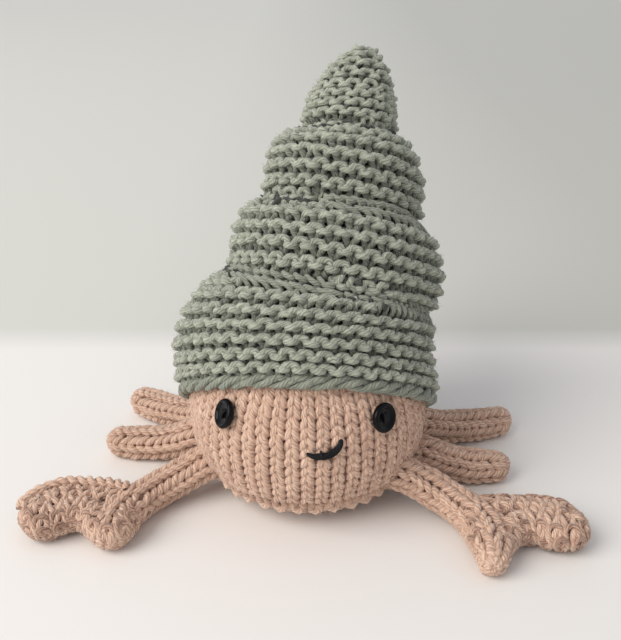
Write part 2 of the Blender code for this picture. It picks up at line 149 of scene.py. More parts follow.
# %% Helpers for objects, materials and node trees
class Tree:
    """Adds nodes to a tree; an input may be a value or another node's output."""

    def __init__(self, tree):
        self.tree = tree

    def fill(self, node, inputs):
        for key, value in dict(inputs).items():
            socket = node.inputs[key]
            if isinstance(value, bpy.types.NodeSocket):
                self.tree.links.new(value, socket)
            else:
                socket.default_value = value
        return node

    def node(self, kind, inputs=(), **settings):
        made = self.tree.nodes.new(kind)
        for key, value in settings.items():
            setattr(made, key, value)
        return self.fill(made, inputs)

    def math(self, operation, *values):
        return self.node("ShaderNodeMath", enumerate(values), operation=operation).outputs[0]

    def times(self, a, b):
        return self.math("MULTIPLY", a, b)

    def plus(self, a, b):
        return self.math("ADD", a, b)

    def minus(self, a, b):
        return self.math("SUBTRACT", a, b)

    def vector(self, operation, *values):
        return self.node("ShaderNodeVectorMath", enumerate(values), operation=operation).outputs[0]

    def scaled(self, vector, amount):
        return self.node("ShaderNodeVectorMath", {0: vector, "Scale": amount}, operation="SCALE").outputs[0]

    def total(self, first, *others):
        for other in others:
            first = self.vector("ADD", first, other)
        return first

    def mix(self, share, first, second):
        return self.node("ShaderNodeMix", {"Factor": share, 6: first, 7: second}, data_type="RGBA").outputs[2]

    def noise(self, where, scale, detail=2.0, output="Fac"):
        inputs = {"Vector": where, "Scale": scale, "Detail": detail}
        return self.node("ShaderNodeTexNoise", inputs).outputs[output]

    def remap(self, value, **limits):
        """A value moved from one range to another, such as From_Min to To_Max."""
        inputs = {key.replace("_", " "): limit for key, limit in limits.items()}
        return self.node("ShaderNodeMapRange", {"Value": value, **inputs}).outputs["Result"]

    def place(self):
        return self.node("ShaderNodeTexCoord").outputs["Object"]

    def bump(self, height, strength, depth):
        inputs = {"Height": height, "Strength": strength, "Distance": depth}
        return self.node("ShaderNodeBump", inputs).outputs["Normal"]

    def read(self, name, kind="FLOAT"):
        found = self.node("GeometryNodeInputNamedAttribute", {"Name": name}, data_type=kind)
        return found.outputs["Attribute"]

    def store(self, geometry, name, value, domain="POINT"):
        inputs = {"Geometry": geometry, "Name": name, "Value": value}
        stored = self.node("GeometryNodeStoreNamedAttribute", inputs, data_type="FLOAT", domain=domain)
        return stored.outputs[0]

    def give(self, name, geometry, finish):
        """Makes instances real, sets the material and hands the geometry over."""
        real = self.node("GeometryNodeRealizeInstances", {"Geometry": geometry}).outputs[0]
        done = self.node("GeometryNodeSetMaterial", {"Geometry": real, "Material": finish}).outputs[0]
        self.tree.interface.new_socket(name, in_out="OUTPUT", socket_type="NodeSocketGeometry")
        self.node("NodeGroupOutput", {name: done})


def new_tree(name, kind, sockets):
    """A node group and its named inputs, each a plain number or a kind and a value."""
    tree = bpy.data.node_groups.new(name, kind)
    for label, given in sockets.items():
        sort, value = given if isinstance(given, tuple) else ("Float", given)
        socket = tree.interface.new_socket(label, in_out="INPUT", socket_type="NodeSocket" + sort)
        if value is not None:
            socket.default_value = value
    t = Tree(tree)
    return t, t.node("NodeGroupInput").outputs


def new_finish(name, build, **shader_inputs):
    """A material; build(tree) gives the inputs of its shader that nodes work out."""
    finish = bpy.data.materials.new(name)
    finish.use_nodes = True
    t = Tree(finish.node_tree)
    inputs = {key.replace("_", " "): value for key, value in shader_inputs.items()}
    t.fill(finish.node_tree.nodes["Principled BSDF"], dict(inputs, **build(t)))
    return finish


def add_object(name, data):
    thing = bpy.data.objects.new(name, data)
    bpy.context.scene.collection.objects.link(thing)
    return thing


# %% [markdown]
# ## The camera and the light
# The toy stands on a pale floor in soft daylight that comes from the front and the left. A long
# lens a little above the toy looks down on it. One big area light is the window, and a pale world
# fills the other side and keeps the shadows open.

# %% Camera, floor and lights
def set_up_camera():
    data = bpy.data.cameras.new("camera")
    data.lens, data.sensor_width = 50.6, 36.0
    data.clip_start, data.clip_end = 0.01, 20.0
    camera = add_object("camera", data)
    camera.location = (0.0009, -0.2779, 0.1913)
    camera.rotation_euler = (radians(90.0 - 25.0), 0.0, 0.0)
    bpy.context.scene.camera = camera
    return camera


def area_light(name, place, aim, size, power, colour):
    data = bpy.data.lights.new(name, "AREA")
    data.shape, data.size, data.energy, data.color = "DISK", size, power, colour
    light = add_object(name, data)
    light.location = place
    light.rotation_euler = (Vector(aim) - Vector(place)).to_track_quat("-Z", "Y").to_euler()


# Where on the ramp each colour of the floor lies, and how much painted shade darkens it to the right,
# where the window light falls off. The far colour is painted lighter to make up for that light's falloff.
FLOOR_COLOURS_AND_SHADE = ((0.0, (0.86, 0.825, 0.785), 0.08), (0.012, (0.68, 0.67, 0.61), 0.22),
                 (1.0, (0.92, 0.90, 0.82), 0.18))


def floor_colour(t):
    parts = t.node("ShaderNodeSeparateXYZ", {"Vector": t.place()}).outputs
    ramp = t.node("ShaderNodeValToRGB", {"Fac": t.remap(parts["Y"], From_Min=0.10, From_Max=2.0)})
    stops = ramp.color_ramp.elements
    stops.new(0.5)
    for stop, (position, colour, painted_dimming) in zip(stops, FLOOR_COLOURS_AND_SHADE):
        stop.position, stop.color = position, (*colour, painted_dimming)
    # Painted shade: the floor darkens towards the right, as it would away from the window light.
    shade = t.remap(parts["X"], From_Min=-0.10, From_Max=0.20, To_Max=ramp.outputs["Alpha"])
    return {"Base Color": t.scaled(ramp.outputs["Color"], t.minus(1.0, shade))}


def pale_floor():
    """A floor that is a little greyer far behind the toy, so that it reads as a wall, and painted darker to
    the right as shade.
    """
    mesh = bpy.data.meshes.new("floor")
    mesh.from_pydata([(-6, -4, 0), (6, -4, 0), (6, 8, 0), (-6, 8, 0)], [], [(0, 1, 2, 3)])
    mesh.materials.append(new_finish("floor_paint", floor_colour, Roughness=0.6))
    add_object("floor", mesh)


camera = set_up_camera()
pale_floor()
area_light("window", (-1.45, -0.85, 1.4), (0.0, 0.05, 0.05), 1.9, 42.0, (1.0, 0.98, 0.945))
world = bpy.data.worlds.new("room")
world.use_nodes = True
daylight = {"Color": (0.93, 0.95, 1.0, 1.0), "Strength": 0.60}
Tree(world.node_tree).fill(world.node_tree.nodes["Background"], daylight)
bpy.context.scene.world = world
bpy.context.scene.view_settings.view_transform = "Standard"
print("camera at", [round(x, 3) for x in camera.location])

# %% [markdown]
# ## Surfaces to knit on
# Each stuffed form is a function of two numbers: the turn round it, in radians, and the level
# along it, in millimetres. A function is better than a mesh here, because rows of stitches can ask
# it for any point, and for the direction of the row, of the column and of the way out.
#
# The first helper draws a smooth curve through a few listed numbers without overshooting,
# which is how every radius, lean and width below is given.

# %% Smooth curves and directions on a surface
def through(knots, x):
    """The smooth curve through (x, y) knots, read at x; level past either end."""
    xs, ys = np.array(knots, float).T
    x = np.clip(x, xs[0], xs[-1])
    slope = np.diff(ys) / np.diff(xs)
    before, after = slope[:-1], slope[1:]
    same_way = before * after > 0
    total = np.where(same_way, before + after, 1.0)
    calm = np.where(same_way, 2 * before * after / total, 0.0)
    steep = np.concatenate((slope[:1], calm, slope[-1:]))
    i = np.clip(np.searchsorted(xs, x, side="right") - 1, 0, len(xs) - 2)
    span = xs[i + 1] - xs[i]
    t = (x - xs[i]) / span
    return (ys[i] * (1 + 2 * t) * (1 - t) ** 2 + ys[i + 1] * t * t * (3 - 2 * t)
            + span * (steep[i] * t * (1 - t) ** 2 - steep[i + 1] * t * t * (1 - t)))


def unit(vectors):
    return vectors / np.maximum(np.linalg.norm(vectors, axis=-1, keepdims=True), 1e-9)


def shortened(vectors, most):
    """Vectors no longer than most, so that a sharp step in a form doesn't stretch its stitches."""
    length = np.linalg.norm(vectors, axis=-1, keepdims=True)
    return vectors * np.minimum(1.0, most / np.maximum(length, 1e-9))


def directions(surface, turn, level, step=0.01):
    """Change of place for one radian of turn and for one millimetre of level, and the way out."""
    round_it = (surface(turn + step, level) - surface(turn - step, level)) / (2 * step)
    along_it = (surface(turn, level + 10 * step) - surface(turn, level - 10 * step)) / (20 * step)
    out = unit(np.cross(round_it, along_it))
    usual = np.median(np.linalg.norm(round_it, axis=-1))
    return shortened(round_it, 1.25 * usual), shortened(along_it, 1.3), out


def inside(surface, depth):
    """The surface that lies a depth below another."""
    def lowered(turn, level):
        return surface(turn, level) - directions(surface, turn, level)[2] * depth
    return lowered


def points(x, y, z):
    return np.stack(np.broadcast_arrays(x, y, z), axis=-1)


def sums(steps):
    """The total before each step, and after the last."""
    return np.concatenate((np.zeros_like(steps[:1]), np.cumsum(steps, axis=0)))


# %% [markdown]
# ### The body and the shell
# The body is a ball that sits on a squashed base. The shell is a cone that leans back: rings round
# a swaying axis, whose radius drops along a groove that runs round the cone like a screw thread.
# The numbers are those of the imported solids, so the knitting fits them without any adjusting.

# %% The body and the shell as surfaces
def body_radius(height):
    crown = height > BODY_WIDEST_AT
    reach = np.where(crown, BODY_CROWN, BODY_DROP)
    power = np.where(crown, 2.0, BODY_SEAT_POWER)
    share = np.minimum(1.0, np.abs(height - BODY_WIDEST_AT) / reach)
    return BODY_RADIUS * (1 - share ** power) ** (1 / power)


BODY_HEIGHTS = np.linspace(0.0, BODY_WIDEST_AT + BODY_CROWN - 0.01, 700)
BODY_PROFILE = body_radius(BODY_HEIGHTS)
BODY_ARC = sums(np.hypot(np.diff(BODY_HEIGHTS), np.diff(BODY_PROFILE)))


def body_surface(turn, level):
    """level is measured up the side of the body, from the edge of its flat seat."""
    radius = np.interp(level, BODY_ARC, BODY_PROFILE)
    return points(radius * np.sin(turn), -radius * np.cos(turn), np.interp(level, BODY_ARC, BODY_HEIGHTS))


def body_level(height):
    return float(np.interp(height, BODY_HEIGHTS, BODY_ARC))


def groove_shift(turn, count):
    """Whorls by which the groove has come down, a turn from straight ahead."""
    return (turn - through(GROOVE_LAG, count) * np.sin(turn)) / tau


def sharp_shell_radius(height, turn):
    turn = (turn + pi) % tau - pi
    count = through(WHORL_COUNT, height)
    start = np.floor(count - groove_shift(turn, count))
    within = count - groove_shift(turn, count) - start
    start = count - within
    belly = through(BELLY_RADIUS, start)
    above = np.minimum(belly, through(WAIST_RADIUS, start))
    below = through(WAIST_RADIUS, start + 1)
    rise = np.clip(within / SHOULDER_SHARE, 0, 1)
    radius = above + (belly - above) * np.sqrt(1 - (1 - rise) ** 2)
    tuck = np.clip((within - 1 + TUCK_SHARE) / TUCK_SHARE, 0, 1)
    return radius - (belly - below) * tuck ** 2 * TUCK_DEPTH


# The same, eased over a stitch or so, as yarn can't turn a sharp corner. It is worked out once, for
# every 0.2 mm of height and half a degree of turn, and read from the table after that.
TABLE_STEP, TABLE_ROUND = 0.2, 720
TABLE_HEIGHTS = np.arange(-8.0, SHELL_HEIGHT + 8.0, TABLE_STEP)
TABLE_TURNS = tau * np.arange(TABLE_ROUND) / TABLE_ROUND - pi
SHARP = sharp_shell_radius(np.maximum(TABLE_HEIGHTS[:, None], 0.0), TABLE_TURNS[None, :])
EASE = ((-8, 0.5), (-4, 1.0), (0, 1.2), (4, 1.0), (8, 0.5))
SHELL_TABLE = sum(weight * np.roll(SHARP, (rise, swing), axis=(0, 1)) for rise, weight in EASE
                  for swing in (-6, 0, 6)) / (3 * sum(weight for _, weight in EASE))


def shell_radius(height, turn):
    up = np.clip((height - TABLE_HEIGHTS[0]) / TABLE_STEP, 0, len(TABLE_HEIGHTS) - 1.001)
    across = ((turn + pi) / tau % 1.0) * TABLE_ROUND
    row, column = np.floor(up).astype(int), np.floor(across).astype(int)
    up, across = up - row, across - column
    column, beside = column % TABLE_ROUND, (column + 1) % TABLE_ROUND
    radius = ((1 - up) * ((1 - across) * SHELL_TABLE[row, column] + across * SHELL_TABLE[row, beside])
              + up * ((1 - across) * SHELL_TABLE[row + 1, column] + across * SHELL_TABLE[row + 1, beside]))
    share = np.clip((height - SHELL_HEIGHT + SHELL_TIP_CAP) / SHELL_TIP_CAP, 0, 1)
    radius = radius * (1 - share ** SHELL_TIP_POWER) ** (1 / SHELL_TIP_POWER)
    roll = np.clip(1 - height / SHELL_RIM_ROLL, 0, 1)
    return radius * (1 - roll ** 2) + SHELL_RIM_RADIUS * roll ** 2


def shell_place(height, turn, radius):
    lean = np.radians(through(RING_LEAN, height))
    tilt = np.radians(through(RING_TILT, height))
    flat = np.zeros_like(lean)
    side = points(np.cos(lean), flat, -np.sin(lean))
    ring_up = points(np.sin(lean) * np.cos(tilt), np.sin(tilt), np.cos(lean) * np.cos(tilt))
    back = np.cross(ring_up, side)
    axis = np.array((0.0, sin(SHELL_AXIS_TILT), cos(SHELL_AXIS_TILT)))
    sway = points(through(SHELL_SWAY, height), 0.0, 0.0)
    centre = SHELL_RIM_CENTRE + axis * np.expand_dims(height, -1) + sway
    return (centre + side * np.expand_dims(radius * np.sin(turn), -1)
            - back * np.expand_dims(radius * np.cos(turn), -1))


def shell_surface(turn, level):
    level = np.broadcast_to(np.asarray(level, float), np.shape(turn))
    return shell_place(level, turn, shell_radius(level, turn))


def shell_core(turn, level):
    """The shell with its shoulders cut back, so that what fills it stays under the fabric."""
    nearby = np.linspace(-CORE_REACH, CORE_REACH, 7)
    around = np.min([shell_radius(level + rise, turn) for rise in nearby], axis=0)
    return shell_place(level, turn, np.maximum(around - CORE_DEPTH, 1.0))


CORE_REACH, CORE_DEPTH = 5.1, 3.4
FRONT, SIDE, BACK = (shell_place(np.array(0.0), np.array(turn), 1.0) for turn in (0.0, pi / 2, pi))
RIM_UP = unit(np.cross(SIDE - FRONT, BACK - FRONT))


def below_rim(place, allowance):
    """True where a place is outside the shell's mouth, or less than an allowance up inside it."""
    return (place - SHELL_RIM_CENTRE) @ RIM_UP < allowance


print("the mouth of the shell faces", [round(float(-x), 2) for x in RIM_UP])

# %% [markdown]
# ### Limbs
# A knitted cord follows a path. Its section is an ellipse, wider where the palm is, and it closes
# round at the tip. The legs come from this function, and so do the arms, which run on through the
# palms into the thumbs. A claw is a flat cushion, given by its outline.

# %% Limbs as surfaces
def rounded_path(marks, step=0.4):
    """Close points on the smooth curve through given ones, and how far along each one is."""
    marks = np.array(marks, float)
    ends = np.vstack((2 * marks[0] - marks[1], marks, 2 * marks[-1] - marks[-2]))
    path = []
    for a, b, c, d in zip(ends, ends[1:], ends[2:], ends[3:]):
        t = np.linspace(0, 1, max(2, ceil(np.linalg.norm(c - b) / step)), endpoint=False)[:, None]
        path.append(0.5 * (2 * b + (c - a) * t + (2 * a - 5 * b + 4 * c - d) * t * t
                           + (3 * b - a - 3 * c + d) * t ** 3))
    path = np.vstack(path + [marks[-1:]])
    return path, sums(np.linalg.norm(np.diff(path, axis=0), axis=1))


def cord_surface(marks, half_width, half_height):
    """(surface, length) of a limb; its level is the distance along its path."""
    path, run = rounded_path(marks)
    length = run[-1]
    dome = float(through(half_width, 1.0))
    heading = unit(np.gradient(path, run, axis=0))
    across = unit(np.cross(heading, (0.0, 0.0, 1.0)))
    upward = np.cross(across, heading)

    def read(table, level):
        return np.stack([np.interp(level, run, table[:, k]) for k in range(3)], axis=-1)

    def surface(turn, level):
        level = np.broadcast_to(np.asarray(level, float), np.shape(turn))
        share = np.clip(level / length, 0, 1)
        near_tip = np.clip(1 - (length - level) / dome, 0, 1)
        close = np.sqrt(np.maximum(1 - near_tip ** 2, 1e-6))
        wide = np.expand_dims(through(half_width, share) * close * np.cos(turn), -1)
        tall = np.expand_dims(through(half_height, share) * close * np.sin(turn), -1)
        place = read(path, level) + read(across, level) * wide - read(upward, level) * tall
        place[..., 2] = np.maximum(place[..., 2], 0.0)
        return place

    return surface, length


def closed_curve(marks, count):
    """Evenly spaced points on the smooth closed curve through marks."""
    marks = [tuple(mark) + (0.0,) for mark in marks]
    path, run = rounded_path(marks[-2:] + marks + marks[:2], step=0.2)
    first = int(np.argmin(np.linalg.norm(path[: len(path) // 3] - marks[0], axis=1)))
    last = len(path) - 1 - int(np.argmin(np.linalg.norm(path[::-1][: len(path) // 3] - marks[0], axis=1)))
    at = np.linspace(run[first], run[last], count, endpoint=False)
    return np.stack([np.interp(at, run, path[:, k]) for k in range(2)], axis=-1)


def eased_round(values, reach, times):
    """Values round a closed line, each averaged with its neighbours."""
    for _ in range(times):
        values = sum(np.roll(values, k, axis=0) for k in range(-reach, reach + 1)) / (2 * reach + 1)
    return values


CUSHION_REACH = 13.0
OUTLINE_POINTS = 360
CLAW_FULL_FROM = 7.5        # half the width from which a claw has its full height, mm


def cushion_surface(outline, backbone):
    """A claw as a cushion: turn runs round its outline, and level from the middle of the underside,
    at minus CUSHION_REACH, over the edge at nought, to the middle of the top."""
    rim = closed_curve(outline, OUTLINE_POINTS)
    bone = rounded_path([tuple(mark) + (0.0,) for mark in backbone], step=0.2)[0][:, :2]
    nearest = np.argmin(np.linalg.norm(rim[:, None] - bone[None], axis=2), axis=1)
    spine = eased_round(bone[nearest], 6, 3)
    share = np.linspace(0, 1, OUTLINE_POINTS, endpoint=False)
    tall = CLAW_HALF_HEIGHT * np.clip(np.linalg.norm(rim - spine, axis=1) / CLAW_FULL_FROM, 0.7, 1.0)
    tall = eased_round(tall, 6, 2)

    def surface(turn, level):
        at = (np.asarray(turn) / tau) % 1.0
        angle = np.broadcast_to(np.asarray(level, float), np.shape(turn)) / CUSHION_REACH * pi / 2
        middle = np.stack([np.interp(at, share, spine[:, k], period=1.0) for k in range(2)], axis=-1)
        edge = np.stack([np.interp(at, share, rim[:, k], period=1.0) for k in range(2)], axis=-1)
        flat = middle + (edge - middle) * np.expand_dims(np.abs(np.cos(angle)) ** 0.85, -1)
        height = np.interp(at, share, tall, period=1.0) * np.sign(angle) * np.abs(np.sin(angle)) ** 0.9
        return np.concatenate((flat, np.expand_dims(CLAW_MIDDLE_HEIGHT + height, -1)), axis=-1)

    return surface


CLAWS = {claw: cushion_surface(CLAW_OUTLINES[claw], CLAW_BACKBONES[claw]) for claw in CLAW_OUTLINES}
LIMBS = {}
for limb, marks in LEG_PATHS.items():
    LIMBS[limb] = cord_surface(marks, CORD_WIDTH, CORD_WIDTH)
for limb, marks in ARM_PATHS.items():
    LIMBS[limb] = cord_surface(marks, ARM_HALF_WIDTH[limb], ARM_HALF_HEIGHT)
print("limb lengths, mm:", {name: round(length, 1) for name, (_, length) in LIMBS.items()})

# %% [markdown]
# ## Rows of stitches
# A row is drawn first as a plain line on the middle of the fabric. Each of its points remembers
# which way the row runs, which way the column of stitches runs, which way is out, and its phase:
# how far through a stitch it is. Those are stored as attributes on a mesh of edges, and the next
# step bends the line into loops. Rows that would be hidden deep in another piece are left out.

# %% Lines of knitting with what each point knows
class Rows:
    """Collects the rows of one piece, then hands them over as a mesh of edges."""

    def __init__(self):
        self.parts = {name: [] for name in ("place", "course", "wale", "out", "phase", "face", "thick")}
        self.edges = []
        self.count = 0

    def add(self, place, course, wale, out, phase, face, closed, keep=None, thick=1.0):
        """keep tells which places to keep; the yarn is cut at the others."""
        total = len(place)
        kept = np.ones(total, bool) if keep is None else keep(place)
        index = np.arange(total)
        pairs = np.stack((index, np.roll(index, -1)), axis=1)
        pairs = pairs if closed else pairs[:-1]
        pairs = pairs[kept[pairs].all(axis=1)]
        self.edges.append((np.cumsum(kept) - 1 + self.count)[pairs])
        face, thick = np.broadcast_to(face, total), np.broadcast_to(thick, total)
        for part, value in zip(self.parts.values(), (place, course, wale, out, phase, face, thick)):
            part.append(np.asarray(value, float)[kept])
        self.count += int(kept.sum())

    def mesh(self, name):
        parts = {key: np.concatenate(values) for key, values in self.parts.items()}
        mesh = bpy.data.meshes.new(name)
        mesh.from_pydata((parts["place"] * MM).tolist(), np.concatenate(self.edges).tolist(), [])
        for key in ("course", "wale", "out"):
            scale = 1.0 if key == "out" else MM
            layer = mesh.attributes.new(key, "FLOAT_VECTOR", "POINT")
            layer.data.foreach_set("vector", (parts[key] * scale).astype(np.float32).ravel())
        for key in ("phase", "face", "thick"):
            layer = mesh.attributes.new(key, "FLOAT", "POINT")
            layer.data.foreach_set("value", parts[key].astype(np.float32))
        return mesh


def phases(stitches):
    return tau * np.arange(stitches * ROW_SAMPLES) / ROW_SAMPLES


def lay_ring(rows, surface, level, stitches, row_height, face=0.0, shift=0.0, keep=None, thick=1.0):
    """One closed row of stitches round a form."""
    phase = phases(stitches)
    turn = phase / stitches + shift
    round_it, along_it, out = directions(surface, turn, level)
    rows.add(surface(turn, level), round_it * tau / stitches, along_it * row_height, out, phase, face,
             True, keep, thick)


def lay_even_ring(rows, surface, level, width, row_height, keep=None):
    """The same where the form's turns aren't evenly spaced: stitches are shared out by length."""
    turns = np.linspace(0, tau, 721)
    run = sums(np.linalg.norm(np.diff(surface(turns, level), axis=0), axis=1))
    stitches = round(run[-1] / width)
    phase = phases(stitches)
    turn = np.interp(phase / tau / stitches, run / run[-1], turns)
    round_it, along_it, out = directions(surface, turn, level, step=0.03)
    rows.add(surface(turn, level), unit(round_it) * run[-1] / stitches, unit(along_it) * row_height, out,
             phase, 0.0, True, keep)


def lay_spiral(rows, surface, bottom, count, stitches, row_height, shift=0.0, keep=None):
    """Rows that run on into each other, as they do when knitting in the round."""
    phase = phases(count * stitches)
    turn = phase / stitches + shift
    level = bottom + row_height * phase / tau / stitches
    round_it, along_it, out = directions(surface, turn, level)
    rows.add(surface(turn, level), round_it * tau / stitches, along_it * row_height, out, phase, 0.0,
             False, keep)


def lay_strand(rows, path, closed=False, thick=1.0):
    """A plain strand, with no loops in it."""
    still = np.zeros_like(path)
    rows.add(path, still, still, still, np.full(len(path), pi / 2), 0.0, closed, None, thick)


# %% [markdown]
# ## The knitting machine
# Geometry Nodes suit this step well, since the same bend is made thousands of times along a path.
# For a phase t the yarn moves along the row by sin 2t, which makes the loop lean over itself, up
# and down the column by cos t, and in and out of the fabric. In smooth knitting both ends of a
# loop dive behind the fabric and its two legs stand in front, as a V. In a garter ridge the head
# of one row and the feet of the next stand out instead. The tree then makes a curve of the bent
# line, sweeps a round section along it, and stores how far along the yarn each point is.

# %% The Geometry Nodes tree that bends rows into loops of yarn
def knitting_tree():
    t, given = new_tree("Knit the rows", "GeometryNodeTree", {
        "Rows": ("Geometry", None), "Yarn Radius": YARN_RADIUS * MM, "Sides": ("Int", YARN_SIDES),
        "Loop Lean": 0.235, "Loop Spread": 0.03, "Loop Height": 0.84, "Leg Depth": 0.95 * MM,
        "Ridge Depth": 1.1 * MM, "Ridge Crossing": 0.7 * MM, "Unevenness": 0.7 * MM,
        "Uneven Over": 6.0 * MM, "Thick and Thin": 0.35, "Seed": 1.0, "Finish": ("Material", None)})
    phase, face = t.read("phase"), t.read("face")
    course, wale, out = (t.read(name, "FLOAT_VECTOR") for name in ("course", "wale", "out"))
    twice = t.times(phase, 2.0)
    head = t.math("COSINE", phase)
    lean = t.times(t.math("SINE", twice), given["Loop Lean"])
    spread = t.times(t.math("SINE", phase), given["Loop Spread"])
    along_row = t.scaled(course, t.plus(lean, spread))
    up_column = t.scaled(wale, t.times(head, given["Loop Height"]))
    smooth_share = t.minus(1.0, t.math("ABSOLUTE", face))
    legs = t.times(t.times(t.math("COSINE", twice), -1.0), given["Leg Depth"])
    crossing = t.times(t.math("POWER", t.math("SINE", twice), 2.0), given["Ridge Crossing"])
    ridge = t.plus(t.times(head, given["Ridge Depth"]), crossing)
    depth = t.plus(t.times(legs, smooth_share), t.times(ridge, face))
    where = t.node("GeometryNodeInputPosition").outputs[0]
    seed = t.node("ShaderNodeCombineXYZ", {"X": given["Seed"], "Y": 7.3}).outputs[0]
    spot = t.total(t.scaled(where, t.math("DIVIDE", 1.0, given["Uneven Over"])), seed)
    noise = t.noise(spot, 1.0, output="Color")
    uneven = t.scaled(t.vector("SUBTRACT", noise, (0.5, 0.5, 0.5)), given["Unevenness"])
    bend = t.total(along_row, up_column, t.scaled(out, depth), uneven)
    bent = t.node("GeometryNodeSetPosition", {"Geometry": given["Rows"], "Offset": bend}).outputs[0]
    yarn = t.node("GeometryNodeMeshToCurve", {"Mesh": bent}).outputs[0]
    yarn = t.store(yarn, "along", t.node("GeometryNodeSplineParameter").outputs["Length"])
    lengths = t.node("GeometryNodeSplineLength").outputs["Length"]
    before = t.node("GeometryNodeAccumulateField", {0: lengths}, data_type="FLOAT", domain="CURVE")
    yarn = t.store(yarn, "before", before.outputs["Trailing"], "CURVE")
    # The plied yarn group also reads lift, and paints shade where the yarn lies low in the fabric.
    yarn = t.store(yarn, "lift", t.math("DIVIDE", depth, given["Yarn Radius"]))
    ring = t.node("GeometryNodeCurvePrimitiveCircle", {
        "Resolution": given["Sides"], "Radius": given["Yarn Radius"]}, mode="RADIUS").outputs["Curve"]
    section = t.store(ring, "around", t.node("GeometryNodeSplineParameter").outputs["Factor"])
    bulge = t.noise(t.vector("ADD", spot, (3.1, 5.7, 1.9)), 1.6)
    bulge = t.times(t.minus(bulge, 0.5), given["Thick and Thin"])
    swept = t.node("GeometryNodeCurveToMesh", {
        "Curve": yarn, "Profile Curve": section, "Scale": t.times(t.read("thick"), t.plus(bulge, 1.0)),
        "Fill Caps": True}).outputs[0]
    smooth = t.node("GeometryNodeSetShadeSmooth", {"Geometry": swept}).outputs[0]
    t.give("Yarn", smooth, given["Finish"])
    return t.tree


KNITTING = knitting_tree()
print("knitting tree:", len(KNITTING.nodes), "nodes")

# %% [markdown]
# The tree's result is baked into a plain mesh, and the modifier goes. The yarn then gets a UV map
# of its own: one direction runs along the strand and the other round it, so that the plies of the
# yarn can wind round each strand wherever it goes. A second map puts the strands side by side.

# %% Bake a piece of knitting and lay its UV map
YARN_ROUND_CM = 0.75        # the way round a strand, for the second map
LOWEST = 0.05               # no yarn goes lower than this above the table, mm


def socket_of(tree, name):
    return next(item.identifier for item in tree.interface.items_tree
                if item.item_type == "SOCKET" and item.in_out == "INPUT" and item.name == name)


def yarn_map(mesh):
    """UV map 'yarn': centimetres along the strand, and share of the way round it. A second map
    lays the same strands in rows on a unit square, where their colours can be baked."""
    corners = np.zeros(len(mesh.loops), np.int32)
    mesh.loops.foreach_get("vertex_index", corners)
    sizes = np.zeros(len(mesh.polygons), np.int32)
    mesh.polygons.foreach_get("loop_total", sizes)
    starts = sums(sizes)[:-1]
    found = {}
    for name in ("along", "around", "before"):
        attribute = mesh.attributes[name]
        values = np.zeros(len(attribute.data), np.float32)
        attribute.data.foreach_get("value", values)
        found[name] = values[corners] if attribute.domain == "POINT" else values
    highest = {name: np.repeat(np.maximum.reduceat(found[name], starts), sizes) for name in found}
    around = found["around"] + (highest["around"] - found["around"] > 0.5)
    along = found["along"] * 100
    far = highest["along"] * 100 - along > 1.0
    along = np.where(far, highest["along"] * 100 + 0.1, along)
    layer = mesh.uv_layers.new(name="yarn")
    layer.data.foreach_set("uv", np.stack((along, around), axis=1).astype(np.float32).ravel())

    # The strands' whole length is cut into rows, with a thin margin free round each strand.
    whole = along + found["before"] * 100
    rows = max(1, ceil(np.sqrt(whole.max() / YARN_ROUND_CM)))
    row_length = whole.max() * 1.001 / rows
    row = np.floor(np.repeat(np.minimum.reduceat(whole, starts), sizes) / row_length)
    across = (whole / row_length - row) * 0.99 + 0.003
    upward = (np.minimum(row, rows - 1) + 0.06 + 0.88 * np.clip(around, 0, 1)) / rows
    layer = mesh.uv_layers.new(name="OFBake")
    layer.data.foreach_set("uv", np.stack((across, upward), axis=1).astype(np.float32).ravel())
    mesh.uv_layers["yarn"].active = True
    mesh.uv_layers["yarn"].active_render = True


def flatten_below(mesh, floor_height):
    """Presses flat what would go below the table."""
    places = np.zeros(len(mesh.vertices) * 3, np.float32)
    mesh.vertices.foreach_get("co", places)
    places[2::3] = np.maximum(places[2::3], floor_height)
    mesh.vertices.foreach_set("co", places)
    mesh.update()


def bake(thing, tree, **inputs):
    """Runs a tree on an object and keeps the result as a plain mesh."""
    modifier = thing.modifiers.new("tree", "NODES")
    modifier.node_group = tree
    for key, value in inputs.items():
        modifier[socket_of(tree, key.replace("_", " "))] = value
    mesh = bpy.data.meshes.new_from_object(thing.evaluated_get(bpy.context.evaluated_depsgraph_get()))
    thing.modifiers.remove(modifier)
    old, thing.data = thing.data, mesh
    bpy.data.meshes.remove(old)
    mesh.name = thing.name
    flatten_below(mesh, LOWEST * MM)
    return mesh


def knit(name, rows, finish, slot, **gauge):
    """Turns rows into a finished piece of knitting."""
    thing = add_object(name, rows.mesh(name + "_rows"))
    mesh = bake(thing, KNITTING, Finish=finish, **gauge)
    yarn_map(mesh)
    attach(thing, "root")
    print(f"{name}: {sum(len(p.vertices) - 2 for p in mesh.polygons)} triangles")
    return thing
